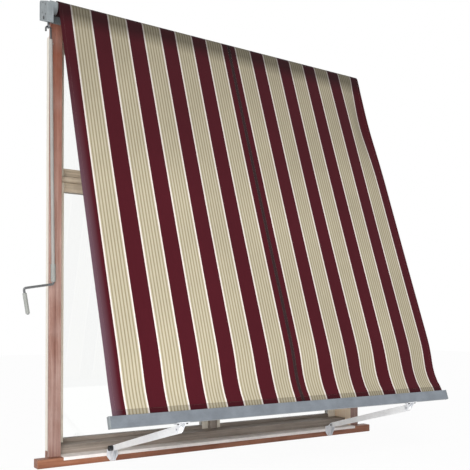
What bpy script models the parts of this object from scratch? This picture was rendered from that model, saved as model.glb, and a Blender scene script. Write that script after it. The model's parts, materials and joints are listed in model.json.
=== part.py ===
"""Fabric awning with two drop arms, fixed to the wooden window frame that carries it.

Metres, +Z up. X runs along the window, +Y goes into the wall, and the origin is the middle of the
sill's underside, in line with the front face of the jambs.
"""

import math

import bmesh
import bpy
from mathutils import Matrix

FIT = 0.0003  # gap between two faces that touch

# Window frame
FRAME_WIDTH = 2.052
FRAME_TOP = 2.250
JAMB_WIDTH = 0.063
FRAME_DEPTH = 0.200
HEAD_HEIGHT = 0.070
SILL_THICKNESS = 0.0435
SILL_NOSE = 0.040
SILL_HORN = 0.067
CASING_DEPTH = 0.018
LINING = 0.015
FLASHING = 0.002
FLASHING_LIP = 0.0135
BOTTOM_RAIL_FRONT = 0.050
BOTTOM_RAIL_HEIGHT = 0.044
MULLION_WIDTH = 0.046
MULLION_MIDDLE = -0.002
MULLION_FRONT = 0.115
TRANSOM_BOTTOM = 1.435
TRANSOM_HEIGHT = 0.027
WOOD_EDGE = 0.003

# Sashes and the fixed light above them
SASH_FRONT = 0.145
SASH_THICKNESS = 0.040
STILE_WIDTH = 0.060
RAIL_HEIGHT = 0.060
SASH_GAP = 0.003
GLASS_THICKNESS = 0.004
HINGE_RADIUS = 0.006
HINGE_LENGTH = 0.080
HINGE_FROM_END = 0.180

# Roller
ROLLER_AXIS_Y = -0.055
ROLLER_BELOW_TOP = 0.005
ROLLER_SHORTER = 0.092  # how much shorter the roller is than the frame is wide
ROLLER_MIDDLE = -0.034
TUBE_RADIUS = 0.0335
TUBE_WALL = 0.0015
PLUG_DEPTH = 0.030
PLUG_LIP = 0.002
PLUG_SHAFT_RADIUS = 0.007
IDLER_PIN_RADIUS = 0.006

# Gear housing at the left end, with its worm, wheel and wall plate
HOUSING_GAP = 0.0326
HOUSING_WIDTH = 0.033
HOUSING_FRONT = -0.110
HOUSING_HEIGHT = 0.100
HOUSING_ABOVE_AXIS = 0.045
HOUSING_LEAN = math.radians(21.7)  # its top and underside fall towards the front
HOUSING_WALL = 0.003
HOUSING_EDGE = 0.002
COLLAR_RADIUS = 0.0315
COLLAR_GAP = 0.001
RIB_DEPTH = 0.002
RIB_WIDTH = 0.004
RIB_FROM_TOP = 0.004
RIB_FROM_BOTTOM = 0.034
RIBS = 3
WHEEL_RADIUS = 0.0190
WHEEL_TEETH = 28
TOOTH_DEPTH = 0.0025
WHEEL_THICKNESS = 0.014
WORM_RADIUS = 0.006
EYE_DROP = 0.0215
EYE_RADIUS = 0.0115
EYE_HOLE = 0.0060
EYE_THICKNESS = 0.005
PLATE_THICKNESS = 0.004
PLATE_BEYOND = 0.0546  # past the jamb's outer side, over the wall
PLATE_ON_JAMB = 0.0516
PLATE_ABOVE = 0.035
PLATE_HEIGHT = 0.094
PLATE_MARGIN = 0.010
SCREW_RADIUS = 0.004
SCREW_HEIGHT = 0.0018

# Bracket at the right end
BRACKET_THICKNESS = 0.003
BRACKET_GAP = 0.0065
BRACKET_HEIGHT = 0.054
BRACKET_NOSE = 0.016
BRACKET_FOOT = 0.040

# Fabric
CLOTH_OVERHANG = 0.003
CLOTH_THICKNESS = 0.0012
ROLL_RADIUS = 0.036
HEM_ROD_RADIUS = 0.0022
HEM_RADIUS = 0.0040

# Front bar
BAR_OVERHANG = 0.0205
BAR_HEIGHT = 0.050
BAR_DEPTH = 0.022
BAR_WALL = 0.002
BAR_SLOT = 0.0026
BAR_GROOVE_RADIUS = 0.0052
CAP_THICKNESS = 0.004
CAP_MARGIN = 0.0008

# Arms
ARM_REACH = 0.693  # from pivot to pivot, seen from the side
ARM_RISE = math.radians(14.8)
FOOT_MIDDLE = 0.018
FOOT_INSET = 0.2775  # from the bar's end to the arm, along the bar
FORK_MIDDLE = -0.008
FORK_INSET = 0.3065
FOOT_PIVOT_Y = -0.075
FOOT_PIVOT_Z = 0.073
ARM_THICKNESS = 0.016
ARM_FOOT_DEPTH = 0.028
ARM_FORK_DEPTH = 0.034
ARM_EDGE = 0.002
PIVOT_CLEARANCE = 0.0004

# Brackets that hold the arms
EAR_THICKNESS = 0.003
EAR_GAP = 0.0007
EAR_RADIUS = 0.013
FOOT_PLATE_WIDTH = 0.060
FOOT_PLATE_TIP = 0.024
FOOT_PLATE_BOTTOM = 0.003
FOOT_PLATE_TOP = 0.064
FOOT_PLATE_SHOULDER = 0.026
BOLT_RADIUS = 0.005
KNOB_RADIUS = 0.0135
KNOB_HEIGHT = 0.022
KNOB_EDGE = 0.003
FORK_DROP = 0.021
FORK_REACH = 0.0364
FORK_PLATE_LENGTH = 0.062
FORK_BOLT_SPACING = 0.044
FORK_PIN_RADIUS = 0.004
PIN_HEAD = 0.0015
FORK_BOLT_HEAD = 0.0036
FORK_BOLT_HEIGHT = 0.004
FORK_BOLT_RADIUS = 0.0022

# Crank
CRANK_LEAN = math.radians(0.84)
HOOK_WIRE = 0.0045
HOOK_HALF_WIDTH = 0.0122
HOOK_TIP = 0.012
HOOK_SHANK = 0.069
HOOK_INSERT = 0.020
CRANK_LENGTH = 1.174
CRANK_TUBE_RADIUS = 0.008
SLEEVE_LENGTH = 0.0845
SLEEVE_RADIUS = 0.0115
LEVER_WIRE = 0.0060
LEVER_NECK = 0.010
LEVER_LENGTH = 0.1445
LEVER_BEND = math.radians(8.5)
LEVER_CORNER = 0.012
GRIP_RADIUS = 0.0098
GRIP_LENGTH = 0.0985
GRIP_FROM_LEVER = 0.0235
LEVER_TAIL = 0.004

# What follows from them
SILL_LENGTH = FRAME_WIDTH + 2 * SILL_HORN
JAMB_INNER = FRAME_WIDTH / 2 - JAMB_WIDTH
HEAD_BOTTOM = FRAME_TOP - HEAD_HEIGHT
TRANSOM_TOP = TRANSOM_BOTTOM + TRANSOM_HEIGHT
TRANSOM_MIDDLE = (TRANSOM_BOTTOM + TRANSOM_TOP) / 2
SASH_BACK = SASH_FRONT + SASH_THICKNESS
HINGE_Y = SASH_BACK + HINGE_RADIUS + 0.0005
HINGE_X = JAMB_INNER - HINGE_RADIUS - 0.002
ROLLER_LENGTH = FRAME_WIDTH - ROLLER_SHORTER
ROLLER_AXIS_Z = FRAME_TOP - ROLLER_BELOW_TOP
ROLLER_LEFT = ROLLER_MIDDLE - ROLLER_LENGTH / 2
ROLLER_RIGHT = ROLLER_MIDDLE + ROLLER_LENGTH / 2
HOUSING_RIGHT = ROLLER_LEFT - HOUSING_GAP
HOUSING_LEFT = HOUSING_RIGHT - HOUSING_WIDTH
HOUSING_TOP = ROLLER_AXIS_Z + HOUSING_ABOVE_AXIS
HOUSING_BACK = -PLATE_THICKNESS - 2 * FIT
PLATE_LEFT = -FRAME_WIDTH / 2 - PLATE_BEYOND
PLATE_RIGHT = -FRAME_WIDTH / 2 + PLATE_ON_JAMB
PLATE_TOP = FRAME_TOP + PLATE_ABOVE
PLATE_BOTTOM = PLATE_TOP - PLATE_HEIGHT
WHEEL_X = (HOUSING_LEFT + HOUSING_RIGHT) / 2
WORM_Y = ROLLER_AXIS_Y - WHEEL_RADIUS - WORM_RADIUS - 0.0005
HOUSING_FALL = math.tan(HOUSING_LEAN) * (HOUSING_BACK - WORM_Y)
EYE_Z = HOUSING_TOP - HOUSING_HEIGHT - HOUSING_FALL - EYE_DROP
BRACKET_X = ROLLER_RIGHT + BRACKET_GAP
BRACKET_TOP = FRAME_TOP
BRACKET_BOTTOM = BRACKET_TOP - BRACKET_HEIGHT
CLOTH_WIDTH = ROLLER_LENGTH + 2 * CLOTH_OVERHANG
BAR_LENGTH = CLOTH_WIDTH + 2 * BAR_OVERHANG
FOOT_SPACING = BAR_LENGTH - 2 * FOOT_INSET
FORK_SPACING = BAR_LENGTH - 2 * FORK_INSET
FOOT_PIVOT_FACE = -SILL_NOSE - FLASHING - FIT
LEAN_IN = (FORK_SPACING - FOOT_SPACING) / 2
ARM_SHIFT = {side: FORK_MIDDLE - FOOT_MIDDLE + side * LEAN_IN for side in (-1, 1)}
WIDEST_LEAN = max(abs(math.atan2(shift, ARM_REACH)) for shift in ARM_SHIFT.values())
EAR_INNER = (ARM_THICKNESS + ARM_FORK_DEPTH * math.sin(WIDEST_LEAN)) / 2 + EAR_GAP
EAR_OUTER = EAR_INNER + EAR_THICKNESS
PIVOT_PLAY = PIVOT_CLEARANCE + ARM_THICKNESS / 2 * math.sin(WIDEST_LEAN)
FORK_PIVOT_Y = FOOT_PIVOT_Y - ARM_REACH * math.cos(ARM_RISE)
FORK_PIVOT_Z = FOOT_PIVOT_Z + ARM_REACH * math.sin(ARM_RISE)

# The cloth leaves the roll as a tangent and ends in the bar's slot, which sets its slope and its length
RUN_Y = ROLLER_AXIS_Y - FORK_PIVOT_Y
RUN_Z = ROLLER_AXIS_Z - FORK_PIVOT_Z
RUN = math.hypot(RUN_Y, RUN_Z)
CLOTH_MIDDLE = ROLL_RADIUS - CLOTH_THICKNESS / 2
LEVER_ANGLE = math.asin((FORK_REACH - CLOTH_MIDDLE) / RUN)
CLOTH_SLOPE = math.atan2(RUN_Y, RUN_Z) + LEVER_ANGLE
CLOTH_DROP = RUN * math.cos(LEVER_ANGLE) - FORK_DROP - BAR_HEIGHT
GROOVE_DEPTH = BAR_GROOVE_RADIUS + 0.0033


def collection(name):
    made = bpy.data.collections.new(name)
    bpy.context.scene.collection.children.link(made)
    return made


def material(name, colour, roughness, metallic=0.0, alpha=1.0):
    made = bpy.data.materials.new(name)
    made.use_nodes = True
    shader = made.node_tree.nodes["Principled BSDF"]
    shader.inputs["Base Color"].default_value = (*colour, 1.0)
    shader.inputs["Roughness"].default_value = roughness
    shader.inputs["Metallic"].default_value = metallic
    shader.inputs["Alpha"].default_value = alpha
    return made


def clear_scene():
    for item in list(bpy.data.objects):
        bpy.data.objects.remove(item, do_unlink=True)


clear_scene()
AWNING = collection("fabric_awning")
CUTTERS = collection("cutters")
WOOD = material("stained_wood", (0.20, 0.09, 0.055), 0.5)
PALE_WOOD = material("bare_wood", (0.62, 0.44, 0.32), 0.6)
GLASS = material("pane", (0.85, 0.92, 0.92), 0.05, alpha=0.3)
CAST = material("cast_alloy", (0.30, 0.33, 0.35), 0.45, 0.6)
STEEL = material("plated_steel", (0.55, 0.56, 0.57), 0.35, 0.9)
ALLOY = material("satin_aluminium", (0.42, 0.45, 0.48), 0.4, 0.7)
PAINT = material("white_paint", (0.75, 0.78, 0.80), 0.35)
BLACK = material("black_plastic", (0.02, 0.02, 0.025), 0.5)
GREY = material("grey_plastic", (0.33, 0.33, 0.31), 0.5)
CLOTH = material("striped_cloth", (0.10, 0.012, 0.022), 0.9)


def pivot(name, place, rotation=(0, 0, 0)):
    """An empty on a joint's axis, which carries the pieces that turn about it."""
    made = bpy.data.objects.new(name, None)
    made.location = place
    made.rotation_euler = rotation
    AWNING.objects.link(made)
    return made


def put(name, data, finish, parent=None, place=(0, 0, 0), rotation=(0, 0, 0)):
    data.materials.clear()
    data.materials.append(finish)
    made = bpy.data.objects.new(name, data)
    made.location = place
    made.rotation_euler = rotation
    made.parent = parent
    AWNING.objects.link(made)
    return made


def rounded(thing, width, segments=2):
    bevel = thing.modifiers.new("edges", "BEVEL")
    bevel.width = width
    bevel.segments = segments
    bevel.limit_method = "ANGLE"
    return thing


def block(name, low, high, finish, parent=None, edge=0.0):
    """A box between two corners, with its edges rounded when edge is given."""
    mesh = bpy.data.meshes.new(name)
    form = bmesh.new()
    bmesh.ops.create_cube(form, size=1.0)
    size = [b - a for a, b in zip(low, high)]
    middle = [(a + b) / 2 for a, b in zip(low, high)]
    bmesh.ops.scale(form, vec=size, verts=form.verts)
    bmesh.ops.translate(form, vec=middle, verts=form.verts)
    form.to_mesh(mesh)
    form.free()
    made = put(name, mesh, finish, parent)
    return rounded(made, edge) if edge else made


def rod(name, radius, start, end, finish, parent=None, sides=24):
    """A round bar from one point to another along X, Y or Z."""
    mesh = bpy.data.meshes.new(name)
    form = bmesh.new()
    span = [b - a for a, b in zip(start, end)]
    length = math.hypot(*span)
    bmesh.ops.create_cone(
        form, cap_ends=True, segments=sides, radius1=radius, radius2=radius, depth=length
    )
    if abs(span[0]) > 0:
        bmesh.ops.rotate(form, matrix=Matrix.Rotation(math.pi / 2, 3, "Y"), verts=form.verts)
    if abs(span[1]) > 0:
        bmesh.ops.rotate(form, matrix=Matrix.Rotation(math.pi / 2, 3, "X"), verts=form.verts)
    middle = [(a + b) / 2 for a, b in zip(start, end)]
    bmesh.ops.translate(form, vec=middle, verts=form.verts)
    form.to_mesh(mesh)
    form.free()
    mesh.shade_smooth()
    mesh.set_sharp_from_angle(angle=math.radians(40))
    return put(name, mesh, finish, parent)


def arc(middle, radius, start, end, steps):
    """Points on an arc, with both ends; the angles are in degrees."""
    angles = [math.radians(start + (end - start) * i / steps) for i in range(steps + 1)]
    return [(middle[0] + radius * math.cos(a), middle[1] + radius * math.sin(a)) for a in angles]


def circle(middle, radius, steps=24):
    return arc(middle, radius, 0, 360 - 360 / steps, steps - 1)


def outline(name, loops, thickness):
    """Flat outline with holes, as a curve extruded by half its thickness to each side."""
    flat = bpy.data.curves.new(name, "CURVE")
    flat.dimensions = "2D"
    flat.fill_mode = "BOTH"
    flat.extrude = thickness / 2
    for loop in loops:
        spline = flat.splines.new("POLY")
        spline.points.add(len(loop) - 1)
        for point, (x, y) in zip(spline.points, loop):
            point.co = (x, y, 0, 1)
        spline.use_cyclic_u = True
    return flat


FACING_X = (math.pi / 2, 0, math.pi / 2)  # outline drawn in Y and Z, thickness along X
FACING_Y = (math.pi / 2, 0, 0)  # outline drawn in X and Z, thickness along Y
FACING_Z = (0, 0, 0)


def profile(name, loops, thickness, finish, parent=None, place=(0, 0, 0), facing=FACING_X):
    return put(name, outline(name, loops, thickness), finish, parent, place, facing)


def as_mesh(made):
    """Swap a curve object for the same shape as a closed mesh, so that it can be cut and joined."""
    bpy.context.view_layer.update()
    graph = bpy.context.evaluated_depsgraph_get()
    mesh = bpy.data.meshes.new_from_object(made.evaluated_get(graph))
    form = bmesh.new()
    form.from_mesh(mesh)
    bmesh.ops.remove_doubles(form, verts=form.verts, dist=0.00001)
    bmesh.ops.recalc_face_normals(form, faces=form.faces)
    form.to_mesh(mesh)
    form.free()
    name, parent, matrix = made.name, made.parent, made.matrix_basis.copy()
    finish = made.data.materials[0]
    bpy.data.objects.remove(made, do_unlink=True)
    solid = put(name, mesh, finish, parent)
    solid.matrix_basis = matrix
    return solid


def combine(target, other, operation):
    """Join another shape to the target or cut it away; the other becomes a hidden helper."""
    if other.type != "MESH":
        other = as_mesh(other)
    other.hide_render = True
    other.display_type = "WIRE"
    AWNING.objects.unlink(other)
    CUTTERS.objects.link(other)
    step = target.modifiers.new(other.name, "BOOLEAN")
    step.object = other
    step.operation = operation
    step.solver = "EXACT"
    return target


def wire(name, points, radius, finish, parent=None, sides=3):
    """A bent bar of one thickness through points, with filled ends."""
    path = bpy.data.curves.new(name, "CURVE")
    path.dimensions = "3D"
    path.bevel_depth = radius
    path.bevel_resolution = sides
    path.use_fill_caps = True
    spline = path.splines.new("POLY")
    spline.points.add(len(points) - 1)
    for point, place in zip(spline.points, points):
        point.co = (*place, 1)
    return put(name, path, finish, parent)


def bend(corner, before, after, radius, steps=6):
    """Points of a rounded bend at a corner between two unit directions, all as (x, z)."""
    turn = math.acos(max(-1, min(1, before[0] * after[0] + before[1] * after[1])))
    setback = radius * math.tan(turn / 2)
    points = []
    for i in range(steps + 1):
        t = i / steps
        a = (1 - t) ** 2
        b = 2 * t * (1 - t)
        c = t * t
        start = [corner[k] - before[k] * setback for k in range(2)]
        end = [corner[k] + after[k] * setback for k in range(2)]
        points.append(tuple(a * start[k] + b * corner[k] + c * end[k] for k in range(2)))
    return points


def turned(name, half, finish, parent=None, place=(0, 0, 0), steps=28):
    """A round piece about its own X axis, from a half outline of (distance along X, radius)."""
    mesh = bpy.data.meshes.new(name)
    form = bmesh.new()
    corners = [form.verts.new((x, 0, radius)) for x, radius in half]
    for a, b in zip(corners, corners[1:]):
        form.edges.new((a, b))
    bmesh.ops.spin(
        form,
        geom=form.verts[:] + form.edges[:],
        axis=(1, 0, 0),
        cent=(0, 0, 0),
        angle=2 * math.pi,
        steps=steps,
        use_merge=True,
    )
    bmesh.ops.remove_doubles(form, verts=form.verts, dist=0.00001)
    bmesh.ops.recalc_face_normals(form, faces=form.faces)
    form.to_mesh(mesh)
    form.free()
    mesh.shade_smooth()
    mesh.set_sharp_from_angle(angle=math.radians(40))
    return put(name, mesh, finish, parent, place)


def make_jamb(name, side):
    """Casing board on the wall's face and the lining behind it, which ends under the lintel."""
    foot = SILL_THICKNESS + FIT
    inner = side * JAMB_INNER
    back = side * (JAMB_INNER + LINING)
    corners = [
        (inner, 0),
        (side * FRAME_WIDTH / 2, 0),
        (side * FRAME_WIDTH / 2, CASING_DEPTH),
        (back, CASING_DEPTH),
        (back, FRAME_DEPTH),
        (inner, FRAME_DEPTH),
    ]
    tall = FRAME_TOP - foot
    jamb = profile(name, [corners], tall, WOOD, None, (0, 0, foot + tall / 2), FACING_Z)
    jamb = as_mesh(jamb)
    lintel = block(
        name + "_lintel",
        (min(inner, back) - LINING, CASING_DEPTH, HEAD_BOTTOM + LINING),
        (max(inner, back) + LINING, FRAME_DEPTH + LINING, FRAME_TOP + LINING),
        WOOD,
    )
    combine(jamb, lintel, "DIFFERENCE")
    rounded(jamb, WOOD_EDGE)


def make_window_frame():
    """Jambs, head, transom, mullion and rail of the fixed frame, standing on the sill."""
    foot = SILL_THICKNESS + FIT
    inner = JAMB_INNER - FIT
    make_jamb("left_jamb", -1)
    make_jamb("right_jamb", 1)
    corners = [
        (0, HEAD_BOTTOM),
        (FRAME_DEPTH, HEAD_BOTTOM),
        (FRAME_DEPTH, HEAD_BOTTOM + LINING),
        (CASING_DEPTH, HEAD_BOTTOM + LINING),
        (CASING_DEPTH, FRAME_TOP),
        (0, FRAME_TOP),
    ]
    rounded(as_mesh(profile("head_rail", [corners], 2 * inner, WOOD)), WOOD_EDGE)
    rail_top = SILL_THICKNESS + BOTTOM_RAIL_HEIGHT
    block(
        "bottom_rail",
        (-inner, BOTTOM_RAIL_FRONT, foot),
        (inner, SASH_FRONT - FIT, rail_top),
        WOOD,
        edge=WOOD_EDGE,
    )
    block(
        "transom",
        (-inner, MULLION_FRONT, TRANSOM_BOTTOM),
        (inner, SASH_FRONT - FIT, TRANSOM_TOP),
        WOOD,
        edge=WOOD_EDGE,
    )
    left = MULLION_MIDDLE - MULLION_WIDTH / 2
    block(
        "mullion",
        (left, MULLION_FRONT, rail_top + FIT),
        (left + MULLION_WIDTH, SASH_FRONT - FIT, TRANSOM_BOTTOM - FIT),
        WOOD,
        edge=WOOD_EDGE,
    )


def make_sill():
    """Sill board with a horn past each jamb, and the metal flashing that is folded over its nose."""
    end = SILL_LENGTH / 2
    shoulder = JAMB_INNER + LINING
    nose = -SILL_NOSE
    back = CASING_DEPTH
    corners = [
        (-end, nose),
        (end, nose),
        (end, back),
        (shoulder, back),
        (shoulder, FRAME_DEPTH),
        (-shoulder, FRAME_DEPTH),
        (-shoulder, back),
        (-end, back),
    ]
    board = profile(
        "sill",
        [corners],
        SILL_THICKNESS,
        WOOD,
        place=(0, 0, SILL_THICKNESS / 2),
        facing=FACING_Z,
    )
    rounded(as_mesh(board), WOOD_EDGE)
    top = SILL_THICKNESS + FLASHING
    low = top - FLASHING_LIP - FLASHING
    front = nose - FLASHING
    seat = SILL_THICKNESS + FIT
    fold = [
        (front, low),
        (nose - FIT, low),
        (nose - FIT, seat),
        (BOTTOM_RAIL_FRONT - FIT, seat),
        (BOTTOM_RAIL_FRONT - FIT, top),
        (front, top),
    ]
    profile("sill_flashing", [fold], 2 * (JAMB_INNER - FIT), ALLOY)


def make_light(name, low, high, outer_side, parent=None):
    """One glazed frame: two stiles, two rails between them and the pane; low and high are (x, z)."""
    front, back = SASH_FRONT, SASH_BACK
    shift = parent.location if parent else (0, 0, 0)
    stiles = {
        outer_side[0]: (low[0], low[0] + STILE_WIDTH),
        outer_side[1]: (high[0] - STILE_WIDTH, high[0]),
    }

    def piece(part, x, z, y, finish, edge):
        corners = [(x[0], y[0], z[0]), (x[1], y[1], z[1])]
        local = [[c[k] - shift[k] for k in range(3)] for c in corners]
        block(f"{name}_{part}", *local, finish, parent, edge)

    for part, x in stiles.items():
        piece(part, x, (low[1], high[1]), (front, back), PALE_WOOD, WOOD_EDGE)
    between = (low[0] + STILE_WIDTH + FIT, high[0] - STILE_WIDTH - FIT)
    bottom = (low[1], low[1] + RAIL_HEIGHT)
    top = (high[1] - RAIL_HEIGHT, high[1])
    piece("bottom_rail", between, bottom, (front, back), PALE_WOOD, WOOD_EDGE)
    piece("top_rail", between, top, (front, back), PALE_WOOD, WOOD_EDGE)
    middle = (front + back) / 2
    pane = (middle - GLASS_THICKNESS / 2, middle + GLASS_THICKNESS / 2)
    piece("glass", between, (bottom[1] + FIT, top[0] - FIT), pane, GLASS, 0)


def make_hinge(name, side, middle):
    """A barrel behind the sash with the tab that fastens it to the jamb; side is -1 or 1."""
    x = side * HINGE_X
    half = HINGE_LENGTH / 2
    barrel = rod(name, HINGE_RADIUS, (x, HINGE_Y, middle - half), (x, HINGE_Y, middle + half), STEEL)
    tab = HINGE_RADIUS * 0.6
    ends = sorted((x, side * (JAMB_INNER - FIT)))
    leaf = block(
        name + "_leaf",
        (ends[0], HINGE_Y - tab, middle - half * 0.8),
        (ends[1], HINGE_Y + tab, middle + half * 0.8),
        STEEL,
    )
    combine(barrel, leaf, "UNION")


def make_lights():
    """The two sashes that open inwards on their hinges, and the fixed light above the transom."""
    low = SILL_THICKNESS + SASH_GAP
    high = TRANSOM_MIDDLE - SASH_GAP / 2
    ends = JAMB_INNER - SASH_GAP
    for side, name in ((-1, "left_sash"), (1, "right_sash")):
        hinge = pivot(name + "_hinge", (side * HINGE_X, HINGE_Y, 0))
        meeting = MULLION_MIDDLE + side * SASH_GAP / 2
        x = sorted((side * ends, meeting))
        kinds = ("hinge_stile", "meeting_stile")
        make_light(name, (x[0], low), (x[1], high), kinds if side < 0 else kinds[::-1], hinge)
        make_hinge(f"{name}_lower_hinge", side, low + HINGE_FROM_END)
        make_hinge(f"{name}_upper_hinge", side, high - HINGE_FROM_END)
    ends = JAMB_INNER - FIT
    low = TRANSOM_MIDDLE + SASH_GAP / 2
    kinds = ("left_stile", "right_stile")
    make_light("top_light", (-ends, low), (ends, HEAD_BOTTOM - FIT), kinds)


def housing_side(inset):
    """The housing's outline in Y and Z, or the room inside it when inset by its wall."""
    front, back = HOUSING_FRONT + inset, HOUSING_BACK - inset
    lift = inset / math.cos(HOUSING_LEAN)
    corners = []
    for y, z in (
        (front, HOUSING_TOP - HOUSING_HEIGHT + lift),
        (back, HOUSING_TOP - HOUSING_HEIGHT + lift),
        (back, HOUSING_TOP - lift),
        (front, HOUSING_TOP - lift),
    ):
        corners.append((y, z - (HOUSING_BACK - y) * math.tan(HOUSING_LEAN)))
    return corners


def make_gear():
    """Cast housing with its ribs, collar and wall plate, and the worm and wheel inside it."""
    wall = HOUSING_WALL
    side = housing_side(0)
    place = (WHEEL_X, 0, 0)
    case = as_mesh(profile("gear_housing", [side], HOUSING_WIDTH, CAST, place=place))
    rounded(case, HOUSING_EDGE)
    step = HOUSING_WIDTH / (RIBS + 1)
    for i in range(RIBS):
        x = HOUSING_LEFT + step * (i + 1)
        rib = block(
            f"gear_housing_rib_{i}",
            (x - RIB_WIDTH / 2, HOUSING_FRONT - RIB_DEPTH, side[0][1] + RIB_FROM_BOTTOM),
            (x + RIB_WIDTH / 2, HOUSING_FRONT + wall / 2, side[3][1] - RIB_FROM_TOP),
            CAST,
        )
        combine(case, rib, "UNION")
    collar = rod(
        "gear_housing_collar",
        COLLAR_RADIUS,
        (HOUSING_RIGHT - wall / 2, ROLLER_AXIS_Y, ROLLER_AXIS_Z),
        (ROLLER_LEFT - PLUG_LIP - COLLAR_GAP, ROLLER_AXIS_Y, ROLLER_AXIS_Z),
        CAST,
    )
    combine(case, collar, "UNION")
    room = profile(
        "gear_room", [housing_side(wall)], HOUSING_WIDTH - 2 * wall, CAST, place=place
    )
    combine(case, room, "DIFFERENCE")
    axis = (ROLLER_AXIS_Y, ROLLER_AXIS_Z)
    shaft_hole = rod(
        "gear_shaft_hole",
        PLUG_SHAFT_RADIUS + FIT,
        (WHEEL_X, *axis),
        (ROLLER_LEFT, *axis),
        CAST,
    )
    combine(case, shaft_hole, "DIFFERENCE")
    worm_hole = rod(
        "gear_worm_hole",
        WORM_RADIUS + FIT,
        (WHEEL_X, WORM_Y, EYE_Z),
        (WHEEL_X, WORM_Y, EYE_Z + EYE_DROP + 3 * wall),
        CAST,
    )
    combine(case, worm_hole, "DIFFERENCE")
    inside = housing_side(wall)
    worm_top = inside[3][1] - FIT
    worm = rod(
        "worm_shaft",
        WORM_RADIUS,
        (WHEEL_X, WORM_Y, EYE_Z + EYE_HOLE + 0.002),
        (WHEEL_X, WORM_Y, worm_top),
        STEEL,
    )
    eye = profile(
        "worm_eye",
        [circle((0, 0), EYE_RADIUS, 28), circle((0, 0), EYE_HOLE, 20)],
        EYE_THICKNESS,
        STEEL,
        place=(WHEEL_X, WORM_Y, EYE_Z),
    )
    combine(worm, eye, "UNION")
    plate = block(
        "gear_wall_plate",
        (PLATE_LEFT, -PLATE_THICKNESS - FIT, PLATE_BOTTOM),
        (PLATE_RIGHT, -FIT, PLATE_TOP),
        CAST,
        edge=0.001,
    )
    for z in (PLATE_BOTTOM + PLATE_MARGIN, PLATE_TOP - PLATE_MARGIN):
        x = PLATE_RIGHT - PLATE_MARGIN
        head = rod(
            f"gear_plate_screw_{z:.3f}",
            SCREW_RADIUS,
            (x, -PLATE_THICKNESS - FIT - SCREW_HEIGHT, z),
            (x, -PLATE_THICKNESS, z),
            STEEL,
        )
        combine(plate, head, "UNION")


def gear_outline(radius, teeth, depth):
    """Tooth tips and roots round a wheel, four points for each tooth."""
    points = []
    for i in range(teeth):
        for share, reach in ((0.0, 0.0), (0.2, 1.0), (0.5, 1.0), (0.7, 0.0)):
            angle = 2 * math.pi * (i + share) / teeth
            r = radius - depth + depth * reach
            points.append((r * math.cos(angle), r * math.sin(angle)))
    return points


def make_roller():
    """Steel tube with a plug in each end, turning with the worm wheel."""
    axis = pivot("roller_axis", (0, ROLLER_AXIS_Y, ROLLER_AXIS_Z))
    bore = TUBE_RADIUS - TUBE_WALL
    tube = [circle((0, 0), TUBE_RADIUS, 48), circle((0, 0), bore, 48)]
    profile("roller_tube", tube, ROLLER_LENGTH, STEEL, axis, (ROLLER_MIDDLE, 0, 0))
    plug = bore - FIT
    lip = PLUG_LIP
    shaft = PLUG_SHAFT_RADIUS
    turned(
        "drive_plug",
        [
            (HOUSING_LEFT + HOUSING_WALL + FIT, 0),
            (HOUSING_LEFT + HOUSING_WALL + FIT, shaft),
            (ROLLER_LEFT - lip, shaft),
            (ROLLER_LEFT - lip, TUBE_RADIUS),
            (ROLLER_LEFT - FIT, TUBE_RADIUS),
            (ROLLER_LEFT - FIT, plug),
            (ROLLER_LEFT + PLUG_DEPTH, plug),
            (ROLLER_LEFT + PLUG_DEPTH, 0),
        ],
        GREY,
        axis,
    )
    turned(
        "idler_plug",
        [
            (BRACKET_X + BRACKET_THICKNESS + 0.003, 0),
            (BRACKET_X + BRACKET_THICKNESS + 0.003, IDLER_PIN_RADIUS),
            (ROLLER_RIGHT + lip, IDLER_PIN_RADIUS),
            (ROLLER_RIGHT + lip, TUBE_RADIUS),
            (ROLLER_RIGHT + FIT, TUBE_RADIUS),
            (ROLLER_RIGHT + FIT, plug),
            (ROLLER_RIGHT - PLUG_DEPTH, plug),
            (ROLLER_RIGHT - PLUG_DEPTH, 0),
        ],
        GREY,
        axis,
    )
    teeth = gear_outline(WHEEL_RADIUS, WHEEL_TEETH, TOOTH_DEPTH)
    bore = circle((0, 0), PLUG_SHAFT_RADIUS + FIT)
    profile("worm_wheel", [teeth, bore], WHEEL_THICKNESS, STEEL, axis, (WHEEL_X, 0, 0))


def make_right_bracket():
    """Folded plate that carries the roller's pin and is screwed to the right jamb."""
    pin = (ROLLER_AXIS_Y, ROLLER_AXIS_Z)
    nose = arc(pin, BRACKET_NOSE, 90, 270, 14)
    side = [(-FIT, BRACKET_TOP), *nose, (-FIT, BRACKET_BOTTOM)]
    hole = circle(pin, IDLER_PIN_RADIUS + FIT)
    middle = BRACKET_X + BRACKET_THICKNESS / 2
    plate = profile("right_bracket", [side, hole], BRACKET_THICKNESS, CAST, place=(middle, 0, 0))
    plate = as_mesh(plate)
    foot = block(
        "right_bracket_foot",
        (BRACKET_X + BRACKET_THICKNESS / 2, -BRACKET_THICKNESS - FIT, BRACKET_BOTTOM),
        (BRACKET_X + BRACKET_THICKNESS + BRACKET_FOOT, -FIT, BRACKET_TOP),
        CAST,
    )
    combine(plate, foot, "UNION")


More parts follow.
